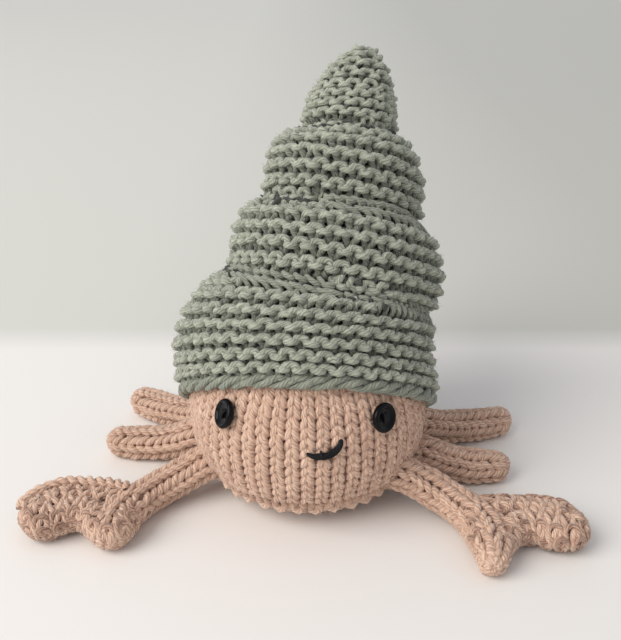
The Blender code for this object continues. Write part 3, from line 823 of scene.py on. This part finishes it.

# %% [markdown]
# ## Finishes
# The peach, the grey-green and the black are all plied yarn, so one shader node group describes
# the plies and each material gives it its own colours. The group winds stripes round the strand
# with the yarn's UV map, paints shade into the furrows between plies, and streaks them with fine
# fibres. It also paints shade where the yarn lies low in the fabric, read from the yarn's lift. It
# puts out a colour and a height, and the material feeds the height to a Bump node.

# %% The plied yarn group
def plied_yarn_group():
    t, given = new_tree("Plied yarn", "ShaderNodeTree", {
        "Light": ("Color", (0.8, 0.8, 0.8, 1)), "Middle": ("Color", (0.5, 0.5, 0.5, 1)),
        "Deep": ("Color", (0.2, 0.2, 0.2, 1)), "Plies": 5.0, "Plies per cm": 6.0})
    for name, kind in (("Color", "Color"), ("Height", "Float")):
        t.tree.interface.new_socket(name, in_out="OUTPUT", socket_type="NodeSocket" + kind)
    yarn = t.node("ShaderNodeUVMap", uv_map="yarn").outputs[0]
    along, around, _ = t.node("ShaderNodeSeparateXYZ", {0: yarn}).outputs
    where = t.place()
    wind = t.plus(t.times(along, given["Plies per cm"]), t.times(around, given["Plies"]))
    wind = t.plus(wind, t.times(t.noise(where, 330.0, 1.0), 2.2))
    # The furrows between plies get painted shade in the colour, as well as their bump.
    ply = t.math("POWER", t.math("ABSOLUTE", t.math("SINE", t.times(wind, pi))), 0.6)
    along_ply = t.node("ShaderNodeCombineXYZ", {"X": t.times(along, 1.6), "Y": t.times(wind, 3.2)}).outputs[0]
    fibre = t.noise(along_ply, 1.0, 3.0)
    # Painted shade: the lower the yarn lies in the fabric (its lift), the darker its colour.
    lift = t.node("ShaderNodeAttribute", attribute_name="lift").outputs["Fac"]
    shade_and_tone = -0.615
    for part, weight in ((ply, 0.36), (fibre, 1.1), (t.noise(where, 160.0), 0.4), (lift, 0.2)):
        shade_and_tone = t.plus(shade_and_tone, t.times(part, weight))
    shade_and_tone = t.times(shade_and_tone, 2.0)
    colour = t.mix(t.minus(shade_and_tone, 1.0), t.mix(shade_and_tone, given["Deep"], given["Middle"]), given["Light"])
    t.node("NodeGroupOutput", {"Color": colour, "Height": t.plus(t.times(ply, 0.62), t.times(fibre, 0.5))})
    return t.tree


PLIED_YARN = plied_yarn_group()


def yarn_finish(name, light, middle, deep, sheen=0.3):
    def build(t):
        colours = {"Light": (*light, 1.0), "Middle": (*middle, 1.0), "Deep": (*deep, 1.0)}
        yarn = t.node("ShaderNodeGroup", colours, node_tree=PLIED_YARN).outputs
        return {"Base Color": yarn["Color"], "Normal": t.bump(yarn["Height"], 0.8, 0.35 * MM)}

    return new_finish(name, build, Roughness=0.92, Specular_IOR_Level=0.25, Sheen_Weight=sheen,
                      Sheen_Roughness=0.5)


PEACH = yarn_finish("peach_yarn", (0.87, 0.665, 0.515), (0.59, 0.38, 0.277), (0.19, 0.095, 0.063))
GREY_GREEN = yarn_finish("grey_green_yarn", (0.45, 0.47, 0.375), (0.195, 0.208, 0.160), (0.04, 0.045, 0.036))
BLACK = yarn_finish("black_thread", (0.02, 0.02, 0.021), (0.007, 0.007, 0.008), (0.003, 0.003, 0.003),
                    sheen=0.0)
print("finishes:", PEACH.name, GREY_GREEN.name, BLACK.name)

# %% [markdown]
# ## Stuffing
# Under the stitches is a firm stuffed form, which closes the little gaps between strands and keeps
# the light from passing through. It is coloured far darker than the yarn, as painted shade in those
# gaps. Each form is a closed loft of rings of the same surface, a yarn's thickness deeper, and it
# stands for its imported solid. The shell's form has its shoulders cut back as well, so that it
# stays under the fabric where that is drawn in.

# %% Stuffed forms under the knitting
STUFFING_LOWEST = 0.4       # no stuffing goes lower than this above the table, mm


def loft(name, rings, finish):
    """A closed, smooth-shaded skin over rings of equal size."""
    sides = rings.shape[1]
    vertices = np.concatenate((rings.reshape(-1, 3), rings[:1].mean(axis=1), rings[-1:].mean(axis=1))) * MM
    faces = []
    for row in range(len(rings) - 1):
        for k in range(sides):
            a, b = row * sides + k, row * sides + (k + 1) % sides
            faces.append((a, b, b + sides, a + sides))
    first, last = len(vertices) - 2, len(vertices) - 1
    top = (len(rings) - 1) * sides
    for k in range(sides):
        faces.append((first, (k + 1) % sides, k))
        faces.append((last, top + k, top + (k + 1) % sides))
    mesh = bpy.data.meshes.new(name)
    mesh.from_pydata(vertices.tolist(), [], faces)
    mesh.shade_smooth()
    mesh.materials.append(finish)
    return add_object(name, mesh)


def stuff(node, surface, levels, sides, finish, depth=2.3):
    """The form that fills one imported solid; the levels are those of its rings."""
    turns = tau * np.arange(sides) / sides
    deep = inside(surface, depth)
    rings = np.stack([deep(turns, np.full(sides, level)) for level in levels])
    rings[..., 2] = np.maximum(rings[..., 2], STUFFING_LOWEST)
    form = loft(node + "_stuffing", rings, finish)
    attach(form, "root")
    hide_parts(node)


def painted_shade_wool(name, colour):
    def build(t):
        noise = t.noise(t.place(), 900.0, 3.0)
        dark = [c * 0.7 for c in colour]
        mottled = t.mix(noise, (*dark, 1.0), (*colour, 1.0))
        return {"Base Color": mottled, "Normal": t.bump(noise, 0.4, 0.3 * MM)}

    return new_finish(name, build, Roughness=1.0)


# The stuffing's colours are painted shade: far darker than the yarn, so that the gaps between strands look
# shadowed.
PEACH_PAINTED_SHADE = painted_shade_wool("peach_inside", (0.26, 0.125, 0.08))
GREY_PAINTED_SHADE = painted_shade_wool("grey_green_inside", (0.075, 0.083, 0.066))
body_rings = np.linspace(1.0, BODY_ARC[-1] - 3, 60)
shell_rings = np.linspace(1.0, SHELL_HEIGHT - 3.5, 160)
claw_rings = np.linspace(0.5 - CUSHION_REACH, CUSHION_REACH - 0.5, 30)
stuff("body", body_surface, body_rings, 72, PEACH_PAINTED_SHADE, depth=2.5)
stuff("shell", shell_core, shell_rings, 96, GREY_PAINTED_SHADE, depth=0.0)
for limb, (surface, length) in LIMBS.items():
    stuff(limb, surface, np.linspace(0.5, length - 0.4, 60), 24, PEACH_PAINTED_SHADE)
for claw, surface in CLAWS.items():
    stuff(claw, surface, claw_rings, 120, PEACH_PAINTED_SHADE)
print("stuffed forms:", 2 + len(LIMBS) + len(CLAWS))

# %% [markdown]
# ## The body
# Fifty-one columns of smooth stitches run from the ridge at the base up under the shell. The rows
# are one long spiral, as they come off four needles, and the part up inside the shell is left out.

# %% Knit the body
BODY_FABRIC = inside(body_surface, YARN_DEPTH)
BODY_RIDGE_LEVEL = body_level(9.3)
body_rows = Rows()
lay_spiral(body_rows, BODY_FABRIC, BODY_RIDGE_LEVEL + 4.4, 17, BODY_COLUMNS, SMOOTH_ROW, shift=pi,
           keep=lambda place: below_rim(place, 9.0))
knit("body_knit", body_rows, PEACH, "peach_knit", Loop_Spread=0.07, Unevenness=1.7 * MM,
     Thick_and_Thin=0.55, Seed=1.0)

# %% [markdown]
# Round the base the knitter worked one purl round, which makes a scalloped ridge where the side
# turns under. Smaller and smaller rounds close the underside, which lies on the table.

# %% Knit the ridge round the base and the underside
def underside(turn, level):
    """level runs in from the edge to the middle of the flat seat."""
    radius = 23.0 - level
    return points(-radius * np.sin(turn), -radius * np.cos(turn), 2.0 + 0.0 * turn)


base_rows = Rows()
RIDGE_FABRIC = inside(body_surface, 1.5)
lay_ring(base_rows, RIDGE_FABRIC, BODY_RIDGE_LEVEL + 1.6, 36, 4.4, face=-1.0, shift=pi, thick=1.18)
for number, stitches in enumerate((46, 42, 36)):
    lay_ring(base_rows, BODY_FABRIC, BODY_RIDGE_LEVEL - 2.0 - 3.6 * number, stitches, 3.6, shift=pi)
for number, stitches in enumerate((30, 25, 20, 15, 10, 5)):
    lay_ring(base_rows, underside, 1.2 + 3.7 * number, stitches, 3.7, shift=0.2 * number)
knit("body_base_knit", base_rows, PEACH, "peach_knit", Loop_Lean=0.17, Ridge_Depth=1.5 * MM,
     Unevenness=2.0 * MM, Seed=1.0)

# %% [markdown]
# ## The shell
# The shell is garter stitch: rows in pairs, each pair one ridge, with the heads of one row's loops
# and the feet of the next standing out. The number of stitches changes from ridge to ridge as the
# cone narrows, and only in the valleys, where a knitter hides it. Over the shoulders of the whorls
# the fabric is longer, so short ridges fill in there, as turned rows do in knitting.

# %% Knit the shell
SHELL_FABRIC = inside(shell_surface, 2.5)
SHELL_STITCH = 5.6
# Half the distance between a ridge's two rows, in a whole ridge, in a short one and at the tip.
RIDGE_HALF, SHORT_HALF, TIP_HALF, TIP_FROM = 1.4, 1.2, 1.0, 118
RIDGE_LEVELS = np.concatenate(((6.7,), np.arange(11.7, 105.0, 5.5), (109.9, 114.6, 118.9, 122.4, 125.0)))
SEAM_REACH = 2.1


def stitches_at(surface, level, width):
    turns = np.linspace(0, tau, 97)
    ring = surface(turns, np.full(97, level))
    return max(4, round(np.linalg.norm(np.diff(ring, axis=0), axis=1).sum() / width))


def groove_height(whorl, turn):
    """Height of a groove's bottom at each turn, found by closing in on it."""
    count = np.full_like(turn, float(whorl))
    for _ in range(15):
        count = whorl + groove_shift(turn, count)
    heights = np.linspace(0, SHELL_HEIGHT, 800)
    return np.interp(-count, -through(WHORL_COUNT, heights), heights)


def outside_seams(turn, level):
    """False in the part of each groove that the slanted stitches fill."""
    turn = (turn + pi) % tau - pi
    clear = np.ones(len(turn), bool)
    for whorl, start, _, end in SEAMS:
        near = np.abs(level - groove_height(whorl, turn)) < SEAM_REACH
        clear &= ~(near & (turn > start) & (turn < end))
    return clear


def climb(turn, low, high, shares):
    """Length of the fabric between two levels at each turn, and the levels at shares of the way."""
    steps = np.linspace(low, high, 13)
    line = np.stack([SHELL_FABRIC(turn, step) for step in steps])
    run = sums(np.linalg.norm(np.diff(line, axis=0), axis=2))
    lines = [np.array([np.interp(column[-1] * share, column, steps) for column in run.T]) for share in shares]
    return run[-1], lines


def without_scraps(clear):
    """Drops runs of a mask that are shorter than a stitch and a half."""
    if clear.all() or not clear.any():
        return clear
    start = int(np.argmin(clear))
    turned = np.roll(clear, -start)
    edges = np.flatnonzero(np.diff(turned.astype(int)))
    for first, last in zip(edges[::2], np.append(edges[1::2], len(turned) - 1)):
        if last - first < 1.5 * ROW_SAMPLES:
            turned[first + 1:last + 1] = False
    return np.roll(turned, start)


def lay_ridge(rows, levels, stitches, half, shift, wanted=True):
    """Two rows that make one garter ridge. Its level, and where it is wanted, may follow COMPASS."""
    turn = phases(stitches) / stitches + shift
    level, asked = (np.interp(turn % tau, COMPASS, np.broadcast_to(values, len(COMPASS)), period=tau)
                    for values in (levels, wanted))
    clear = without_scraps(outside_seams(turn, level) & (asked > 0.5))
    steepness = np.linalg.norm(SHELL_FABRIC(turn, level + 1) - SHELL_FABRIC(turn, level - 1), axis=1) / 2
    gap = half / np.maximum(steepness, 0.9)
    lay_ring(rows, SHELL_FABRIC, level - gap, stitches, 2 * half, 0.85, shift, lambda place: clear)
    lay_ring(rows, SHELL_FABRIC, level + gap, stitches, 2 * half, -1.3, shift, lambda place: clear)


# Each seam: its groove, and the turns where it starts, stands upright and ends.
SEAMS = ((3, -1.1, 0.42, 2.5), (2, -0.2, 0.8, 2.4))
# Each part of the shell: the level that its ridges stay below, and the radius of its yarn.
SHELL_PARTS = {"mouth": (30, 1.14), "middle": (62, 1.14), "upper": (94, 1.14), "tip": (130, 0.98)}
ONE_MORE, TWO_MORE = 7.0, 9.8       # lengths of fabric between ridges that take short ridges as well
COMPASS = np.linspace(0, tau, 240, endpoint=False)
shell_rows = {part: Rows() for part in SHELL_PARTS}
short_ridges = 0
for number, level in enumerate(RIDGE_LEVELS):
    rows = shell_rows[next(part for part, (end, _) in SHELL_PARTS.items() if level < end)]
    stitches, shift = stitches_at(SHELL_FABRIC, level, SHELL_STITCH), 0.37 * number
    lay_ridge(rows, level, stitches, RIDGE_HALF if level < TIP_FROM else TIP_HALF, shift)
    if 20 < level < 104:
        length, (middle, third, far) = climb(COMPASS, level, RIDGE_LEVELS[number + 1], (1 / 2, 1 / 3, 2 / 3))
        one, two = (length > ONE_MORE) & (length < TWO_MORE), length >= TWO_MORE
        for line, wanted in ((middle, one), (third, two), (far, two)):
            if wanted.any():
                short_ridges += 1
                lay_ridge(rows, line, stitches, SHORT_HALF, shift + 0.1, wanted)
for part, (_, radius) in SHELL_PARTS.items():
    knit("shell_knit_" + part, shell_rows[part], GREY_GREEN, "shell_knit", Loop_Height=0.92,
         Loop_Lean=0.235, Loop_Spread=0.0, Yarn_Radius=radius * MM, Ridge_Depth=1.9 * MM,
         Ridge_Crossing=1.1 * MM, Unevenness=2.3 * MM, Uneven_Over=4.5 * MM, Thick_and_Thin=0.5, Seed=2.0)
print("ridges:", len(RIDGE_LEVELS), "and short ones over the shoulders:", short_ridges)

# %% [markdown]
# The mouth of the shell ends in a thick rolled edge: the strands of the cast-on lie over each
# other like a rope. Three strands wind round a ring just under the first ridge.

# %% The rope edge round the mouth
def rope(rows, centre, side, up, strands, radius, winds):
    """Strands wound round a closed line of points, given the two directions across it."""
    share = np.arange(len(centre)) / len(centre)
    for strand in range(strands):
        angle = tau * (winds * share + strand / strands)[:, None]
        lay_strand(rows, centre + (side * np.cos(angle) + up * np.sin(angle)) * radius, closed=True)


RIM_POINTS = 900
rim_rows = Rows()
rim_turns = tau * np.arange(RIM_POINTS) / RIM_POINTS
rim_line = SHELL_FABRIC(rim_turns, np.full(RIM_POINTS, 2.6))
_, rim_up, rim_out = directions(SHELL_FABRIC, rim_turns, np.full(RIM_POINTS, 5.0))
rim_up = unit(rim_up)
rim_side = unit(np.cross(rim_up, np.cross(rim_out, rim_up)))
rope(rim_rows, rim_line - rim_up * 2.1 + rim_out * 0.4, rim_side, rim_up, strands=3, radius=1.25, winds=14)
knit("shell_rim", rim_rows, GREY_GREEN, "shell_knit", Yarn_Radius=1.15 * MM, Unevenness=2.4 * MM,
     Thick_and_Thin=0.5, Seed=4.0)

# %% [markdown]
# Where a whorl meets the one below it, the knitter drew the fabric in with slanted stitches. They
# lie side by side in the groove, each with both ends pulled into the fabric. In front they make
# two rows, and further round they stand upright, close together, like a comb.

# %% Slanted stitches in the grooves
def lay_slanted(rows, whorl, turn, rise, swing, reach, bulge, shift=0.0):
    """A short strand across a groove, a rise above its bottom, with its ends tucked in."""
    share = np.linspace(-1, 1, 13)
    bottom = float(groove_height(whorl, np.array([turn]))[0])
    turns, levels = turn + shift + swing * share, bottom + rise - reach * share
    out = directions(SHELL_FABRIC, turns, levels)[2]
    lay_strand(rows, SHELL_FABRIC(turns, levels) + out * (bulge * (1 - share[:, None] ** 4) - 1.6))


seam_rows = Rows()
for whorl, start, upright, end in SEAMS:
    for turn in np.arange(start, upright + 0.1, 0.12):
        lay_slanted(seam_rows, whorl, turn, 1.4, 0.16, 1.4, 4.5)
        lay_slanted(seam_rows, whorl, turn, -1.0, 0.16, 1.3, 4.5, shift=0.05)
    for turn in np.arange(upright, end, 0.068):
        lay_slanted(seam_rows, whorl, turn, -0.5, 0.05, 3.3, 4.2)
knit("shell_seam", seam_rows, GREY_GREEN, "shell_knit", Yarn_Radius=0.95 * MM, Unevenness=1.5 * MM, Seed=5.0)

# %% [markdown]
# ## Legs, arms and claws
# Each limb is a narrow tube of five stitches a round, and the palms take a few more. The first
# rounds are inside the body and are left out.

# %% Knit the limbs
def outside_body(place):
    height = np.clip(place[:, 2], 0, BODY_WIDEST_AT + BODY_CROWN - 0.5)
    return np.hypot(place[:, 0], place[:, 1]) > body_radius(height) - 5.0


# The gathered tip of a limb: how far each of its rows is from the end, and how tall it is.
TIP_ROWS = ((0.55, 1.5), (2.2, 2.2), (4.6, 3.2))
CORD_ROW, CORD_STITCH, CORD_YARN_DEPTH = 3.6, 5.5, YARN_DEPTH - 0.2


def limb_rows(length):
    """(level, height) of every row, from the gathered tip back to the start of a limb."""
    tip = [(length - back, height) for back, height in TIP_ROWS]
    return tip + [(level, CORD_ROW) for level in np.arange(tip[-1][0] - CORD_ROW, 2.0, -CORD_ROW)]


for limb, (surface, length) in LIMBS.items():
    fabric = inside(surface, CORD_YARN_DEPTH)
    rows = Rows()
    for level, height in limb_rows(length):
        stitches = max(5, stitches_at(fabric, min(level, length - 5.0), CORD_STITCH))
        lay_ring(rows, fabric, level, stitches, height, shift=0.35, keep=outside_body)
    knit(limb + "_knit", rows, PEACH, "peach_knit", Loop_Lean=0.27, Unevenness=1.6 * MM, Seed=3.0)

# %% [markdown]
# A claw is worked round its own outline, so its stitches stand across it, edge to middle. They are
# longer and looser than on the body. Where the arm and the thumb lie over the claw its own rows
# are left out.

# %% Knit the claws
CLAW_STITCH = 5.2
UNDER_ARM = 2.2             # how far a claw's rows run in under the arm, mm


def clear_of_arm(arm):
    """A test for places that the arm and its thumb leave uncovered, seen from above."""
    path, run = rounded_path(ARM_PATHS[arm])
    half = through(ARM_HALF_WIDTH[arm], run / run[-1])
    short = run < run[-1] - half[-1]
    path, reach = path[short, :2], half[short] - UNDER_ARM

    def keep(place):
        return (np.linalg.norm(place[:, None, :2] - path, axis=2) - reach).min(axis=1) > 0
    return keep


# Level and height of every row of a claw, from the underside over the edge to the top.
CLAW_ROWS = ((-12.2, 2.4), (-9.0, 4.6), (-4.2, 5.0), (0.8, 5.0), (5.4, 5.0), (9.3, 4.6), (12.1, 2.8))
for claw, surface in CLAWS.items():
    fabric = inside(surface, CORD_YARN_DEPTH)
    rows = Rows()
    for level, height in CLAW_ROWS:
        lay_even_ring(rows, fabric, level, CLAW_STITCH, height, clear_of_arm(claw.replace("claw", "arm")))
    knit(claw + "_knit", rows, PEACH, "peach_knit", Loop_Lean=0.25, Yarn_Radius=1.0 * MM,
         Leg_Depth=1.0 * MM, Unevenness=1.3 * MM, Uneven_Over=5.0 * MM, Thick_and_Thin=0.5, Seed=6.0)

# %% [markdown]
# One claw has its cast-on edge showing. It is two strands twisted together, which run along the far
# side of the palm and the big finger.

# %% The cast-on edge of the left claw
EDGE_WINDS, EDGE_START, EDGE_LENGTH = 6, 0.05, 0.39       # the last two are shares of the outline
edge_fabric = CLAWS["claw_left"]
edge_rows = Rows()
share = np.linspace(0, 1, 400)
for strand in range(2):
    wave = tau * (EDGE_WINDS * share + strand / 2)
    turns, level = tau * (EDGE_START + EDGE_LENGTH * share), 7.2 - 3.0 * share ** 3 + 1.2 * np.cos(wave)
    out = directions(edge_fabric, turns, level, step=0.03)[2]
    lay_strand(edge_rows, edge_fabric(turns, level) + out * (0.8 * np.sin(wave) + 1.1)[:, None])
knit("claw_left_edge", edge_rows, PEACH, "peach_knit", Yarn_Radius=1.1 * MM, Unevenness=0.8 * MM, Seed=7.0)

# %% [markdown]
# ## Fuzz
# Soft yarn sheds short fibres, which blur the edges of every stitch. A second Geometry Nodes tree
# scatters them over the raised side of the yarn: thin bent ribbons, each turned and scaled at random
# from a fixed seed.

# %% Loose fibres on the yarn
FIBRE_WIDTH = 0.055         # of its length


def fibre_mesh():
    """One fibre, 1 mm long before scaling, leaving the yarn and bending over."""
    share = np.linspace(0, 1, 5)
    lean = 1.15 * share
    spine = np.stack((np.cumsum(np.sin(lean)) * 0.25 - 0.1, 0.12 * np.sin(3 * share),
                      np.cumsum(np.cos(lean)) * 0.25 - 0.3), axis=1)
    half = (0.5 * FIBRE_WIDTH * (1 - 0.7 * share))[:, None] * np.array((0.3, 0.95, 0.0))
    mesh = bpy.data.meshes.new("fibre")
    mesh.from_pydata((np.concatenate((spine - half, spine + half)) * MM).tolist(), [],
                     [(k, k + 1, k + 6, k + 5) for k in range(4)])
    return mesh


def fuzz_tree():
    t, given = new_tree("Scatter fibres", "GeometryNodeTree", {
        "Yarn": ("Geometry", None), "Fibre": ("Object", None), "Fibres per Square mm": 0.25,
        "Shortest": 0.8, "Longest": 2.3, "Seed": ("Int", 1), "Finish": ("Material", None)})
    raised = t.math("GREATER_THAN", t.read("lift"), 0.15)
    density = t.times(raised, t.times(given["Fibres per Square mm"], 1e6))
    scattered = t.node("GeometryNodeDistributePointsOnFaces", {
        "Mesh": given["Yarn"], "Density": density, "Seed": given["Seed"]}, distribute_method="RANDOM").outputs
    limits = {0: (-0.9, -0.9, -3.14), 1: (0.9, 0.9, 3.14), "Seed": given["Seed"]}
    spin = t.node("FunctionNodeRandomValue", limits, data_type="FLOAT_VECTOR").outputs[0]
    turned = t.node("FunctionNodeRotateRotation", {
        "Rotation": scattered["Rotation"], "Rotate By": spin}, rotation_space="LOCAL").outputs[0]
    limits = {2: given["Shortest"], 3: given["Longest"], "Seed": given["Seed"]}
    size = t.node("FunctionNodeRandomValue", limits, data_type="FLOAT").outputs[1]
    fibre = t.node("GeometryNodeObjectInfo", {"Object": given["Fibre"]}).outputs["Geometry"]
    placed = t.node("GeometryNodeInstanceOnPoints", {
        "Points": scattered["Points"], "Instance": fibre, "Rotation": turned, "Scale": size}).outputs[0]
    t.give("Fuzz", placed, given["Finish"])
    return t.tree


def fibre_finish(name, colour):
    return new_finish(name, lambda t: {"Base Color": (*colour, 1.0)}, Roughness=1.0, Specular_IOR_Level=0.1)


def add_fuzz(name, finish, seed):
    """Fibres for one baked piece of knitting, as a piece of their own."""
    thing = add_object(name + "_fuzz", bpy.data.objects[name].data.copy())
    mesh = bake(thing, FUZZ, Fibre=FIBRE, Finish=finish, Seed=seed)
    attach(thing, "root")
    return len(mesh.polygons) // 4


FIBRE = add_object("fibre", fibre_mesh())
FUZZ = fuzz_tree()
PEACH_FIBRE = fibre_finish("peach_fibre", (0.76, 0.55, 0.42))
GREY_FIBRE = fibre_finish("grey_green_fibre", (0.30, 0.315, 0.255))
fibres = 0
knitted = sorted(thing.name for thing in bpy.data.objects if "_knit" in thing.name)
for number, name in enumerate(knitted):
    finish, slot = (GREY_FIBRE, "shell_knit") if name.startswith("shell") else (PEACH_FIBRE, "peach_knit")
    fibres += add_fuzz(name, finish, number + 1)
spare = FIBRE.data
bpy.data.objects.remove(FIBRE)
bpy.data.meshes.remove(spare)
print("loose fibres:", fibres, "on", len(knitted), "pieces")

# %% [markdown]
# ## The face
# The eyes are shiny black buttons with a raised rim and a sunken middle, sewn on so that they tilt
# a little. A button is turned on a lathe, so its outline is spun round.

# %% Button eyes
def body_place(bearing, height, lift=0.0):
    """Point and outward direction on the body, at a bearing in degrees and a height in mm."""
    turn = np.radians(np.atleast_1d(np.asarray(bearing, float)))
    level = np.interp(np.atleast_1d(np.asarray(height, float)), BODY_HEIGHTS, BODY_ARC)
    out = directions(body_surface, turn, level)[2]
    return body_surface(turn, level) + out * lift, out


# Radius and height of a button's outline, from its back edge over the rim to the middle.
BUTTON_OUTLINE = ((3.9, -0.6), (4.55, -0.2), (4.85, 0.4), (4.9, 0.9), (4.8, 1.35), (4.5, 1.75),
                  (4.1, 1.95), (3.7, 1.9), (3.4, 1.7), (3.1, 1.45), (2.7, 1.3), (2.2, 1.22),
                  (1.6, 1.2), (1.1, 1.2), (0.9, 1.05), (0.85, 0.3))


def button_finish(t):
    scuffs = t.noise(t.place(), 700.0, 4.0)
    return {"Base Color": (0.004, 0.004, 0.005, 1.0), "Roughness": t.remap(scuffs, To_Min=0.10, To_Max=0.26)}


GLOSS = new_finish("black_button", button_finish, Specular_IOR_Level=0.13)
EYE_TILT = {"eye_left": (-21.0, 3.0), "eye_right": (9.0, -4.0)}       # further round, and up, in degrees
BUTTON_TURN = tau * np.arange(64)[:, None] / 64


def eye_ways(eye, out):
    """The way that a button faces, the way across it and the way up it."""
    swing, lift = (radians(x) for x in EYE_TILT[eye])
    facing = Matrix.Rotation(swing, 3, "Z") @ Vector(out)
    sideways = Vector((0, 0, 1)).cross(facing).normalized()
    facing = Matrix.Rotation(-lift, 3, sideways) @ facing
    return [np.array(way) for way in (facing, sideways, facing.cross(sideways))]


for eye, (bearing, height) in EYES.items():
    (centre,), (out,) = body_place(bearing, height, 0.5)
    facing, sideways, upright = eye_ways(eye, out)
    spokes = np.cos(BUTTON_TURN) * sideways + np.sin(BUTTON_TURN) * upright
    rings = np.stack([centre + spokes * radius + facing * level for radius, level in BUTTON_OUTLINE])
    made = loft(eye + "_button", rings, GLOSS)
    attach(made, "root")
    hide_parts(eye)
    bar = Rows()
    for offset in (-0.45, 0.45):
        run = np.linspace(-1, 1, 13)[:, None]
        lay_strand(bar, centre + upright * run * 1.5 + sideways * (offset + 0.15 * run)
                   + facing * (1.75 - 1.1 * run ** 4))
    sewn = knit(eye.replace("eye", "eye_thread") + "_yarn", bar, BLACK, "black_thread",
                Yarn_Radius=0.5 * MM, Unevenness=0.1 * MM)
    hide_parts(eye.replace("eye", "eye_thread"))
print("buttons:", len(EYES))

# %% [markdown]
# The smile is one stitch of thick black thread whose ends dive into the fabric, held down by a
# short upright stitch. Both are plain strands laid on the body's surface.

# %% The smile
def lay_face_stitch(name, node, marks, lift, radius, sunk):
    """A thread along marks on the body; sunk is the share of it, at either end, that dives in."""
    path, run = rounded_path([(bearing, height, 0.0) for bearing, height in marks], step=0.5)
    share = run / run[-1]
    place, out = body_place(path[:, 0], path[:, 1])
    dive = np.clip(1 - np.minimum(share, 1 - share) / sunk, 0, 1) ** 2
    rows = Rows()
    taper = 0.5 + 0.5 * np.minimum(1.0, np.minimum(share, 1 - share) / 0.3)
    lay_strand(rows, place + out * (lift - 2.6 * dive)[:, None], thick=taper)
    made = knit(name, rows, BLACK, "black_thread", Yarn_Radius=radius * MM, Sides=12, Unevenness=0.15 * MM)
    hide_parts(node)


lay_face_stitch("smile_yarn", "smile", SMILE, 0.7, 1.15, 0.10)
lay_face_stitch("smile_tack_yarn", "smile_tack", TACK, 1.5, 0.5, 0.45)
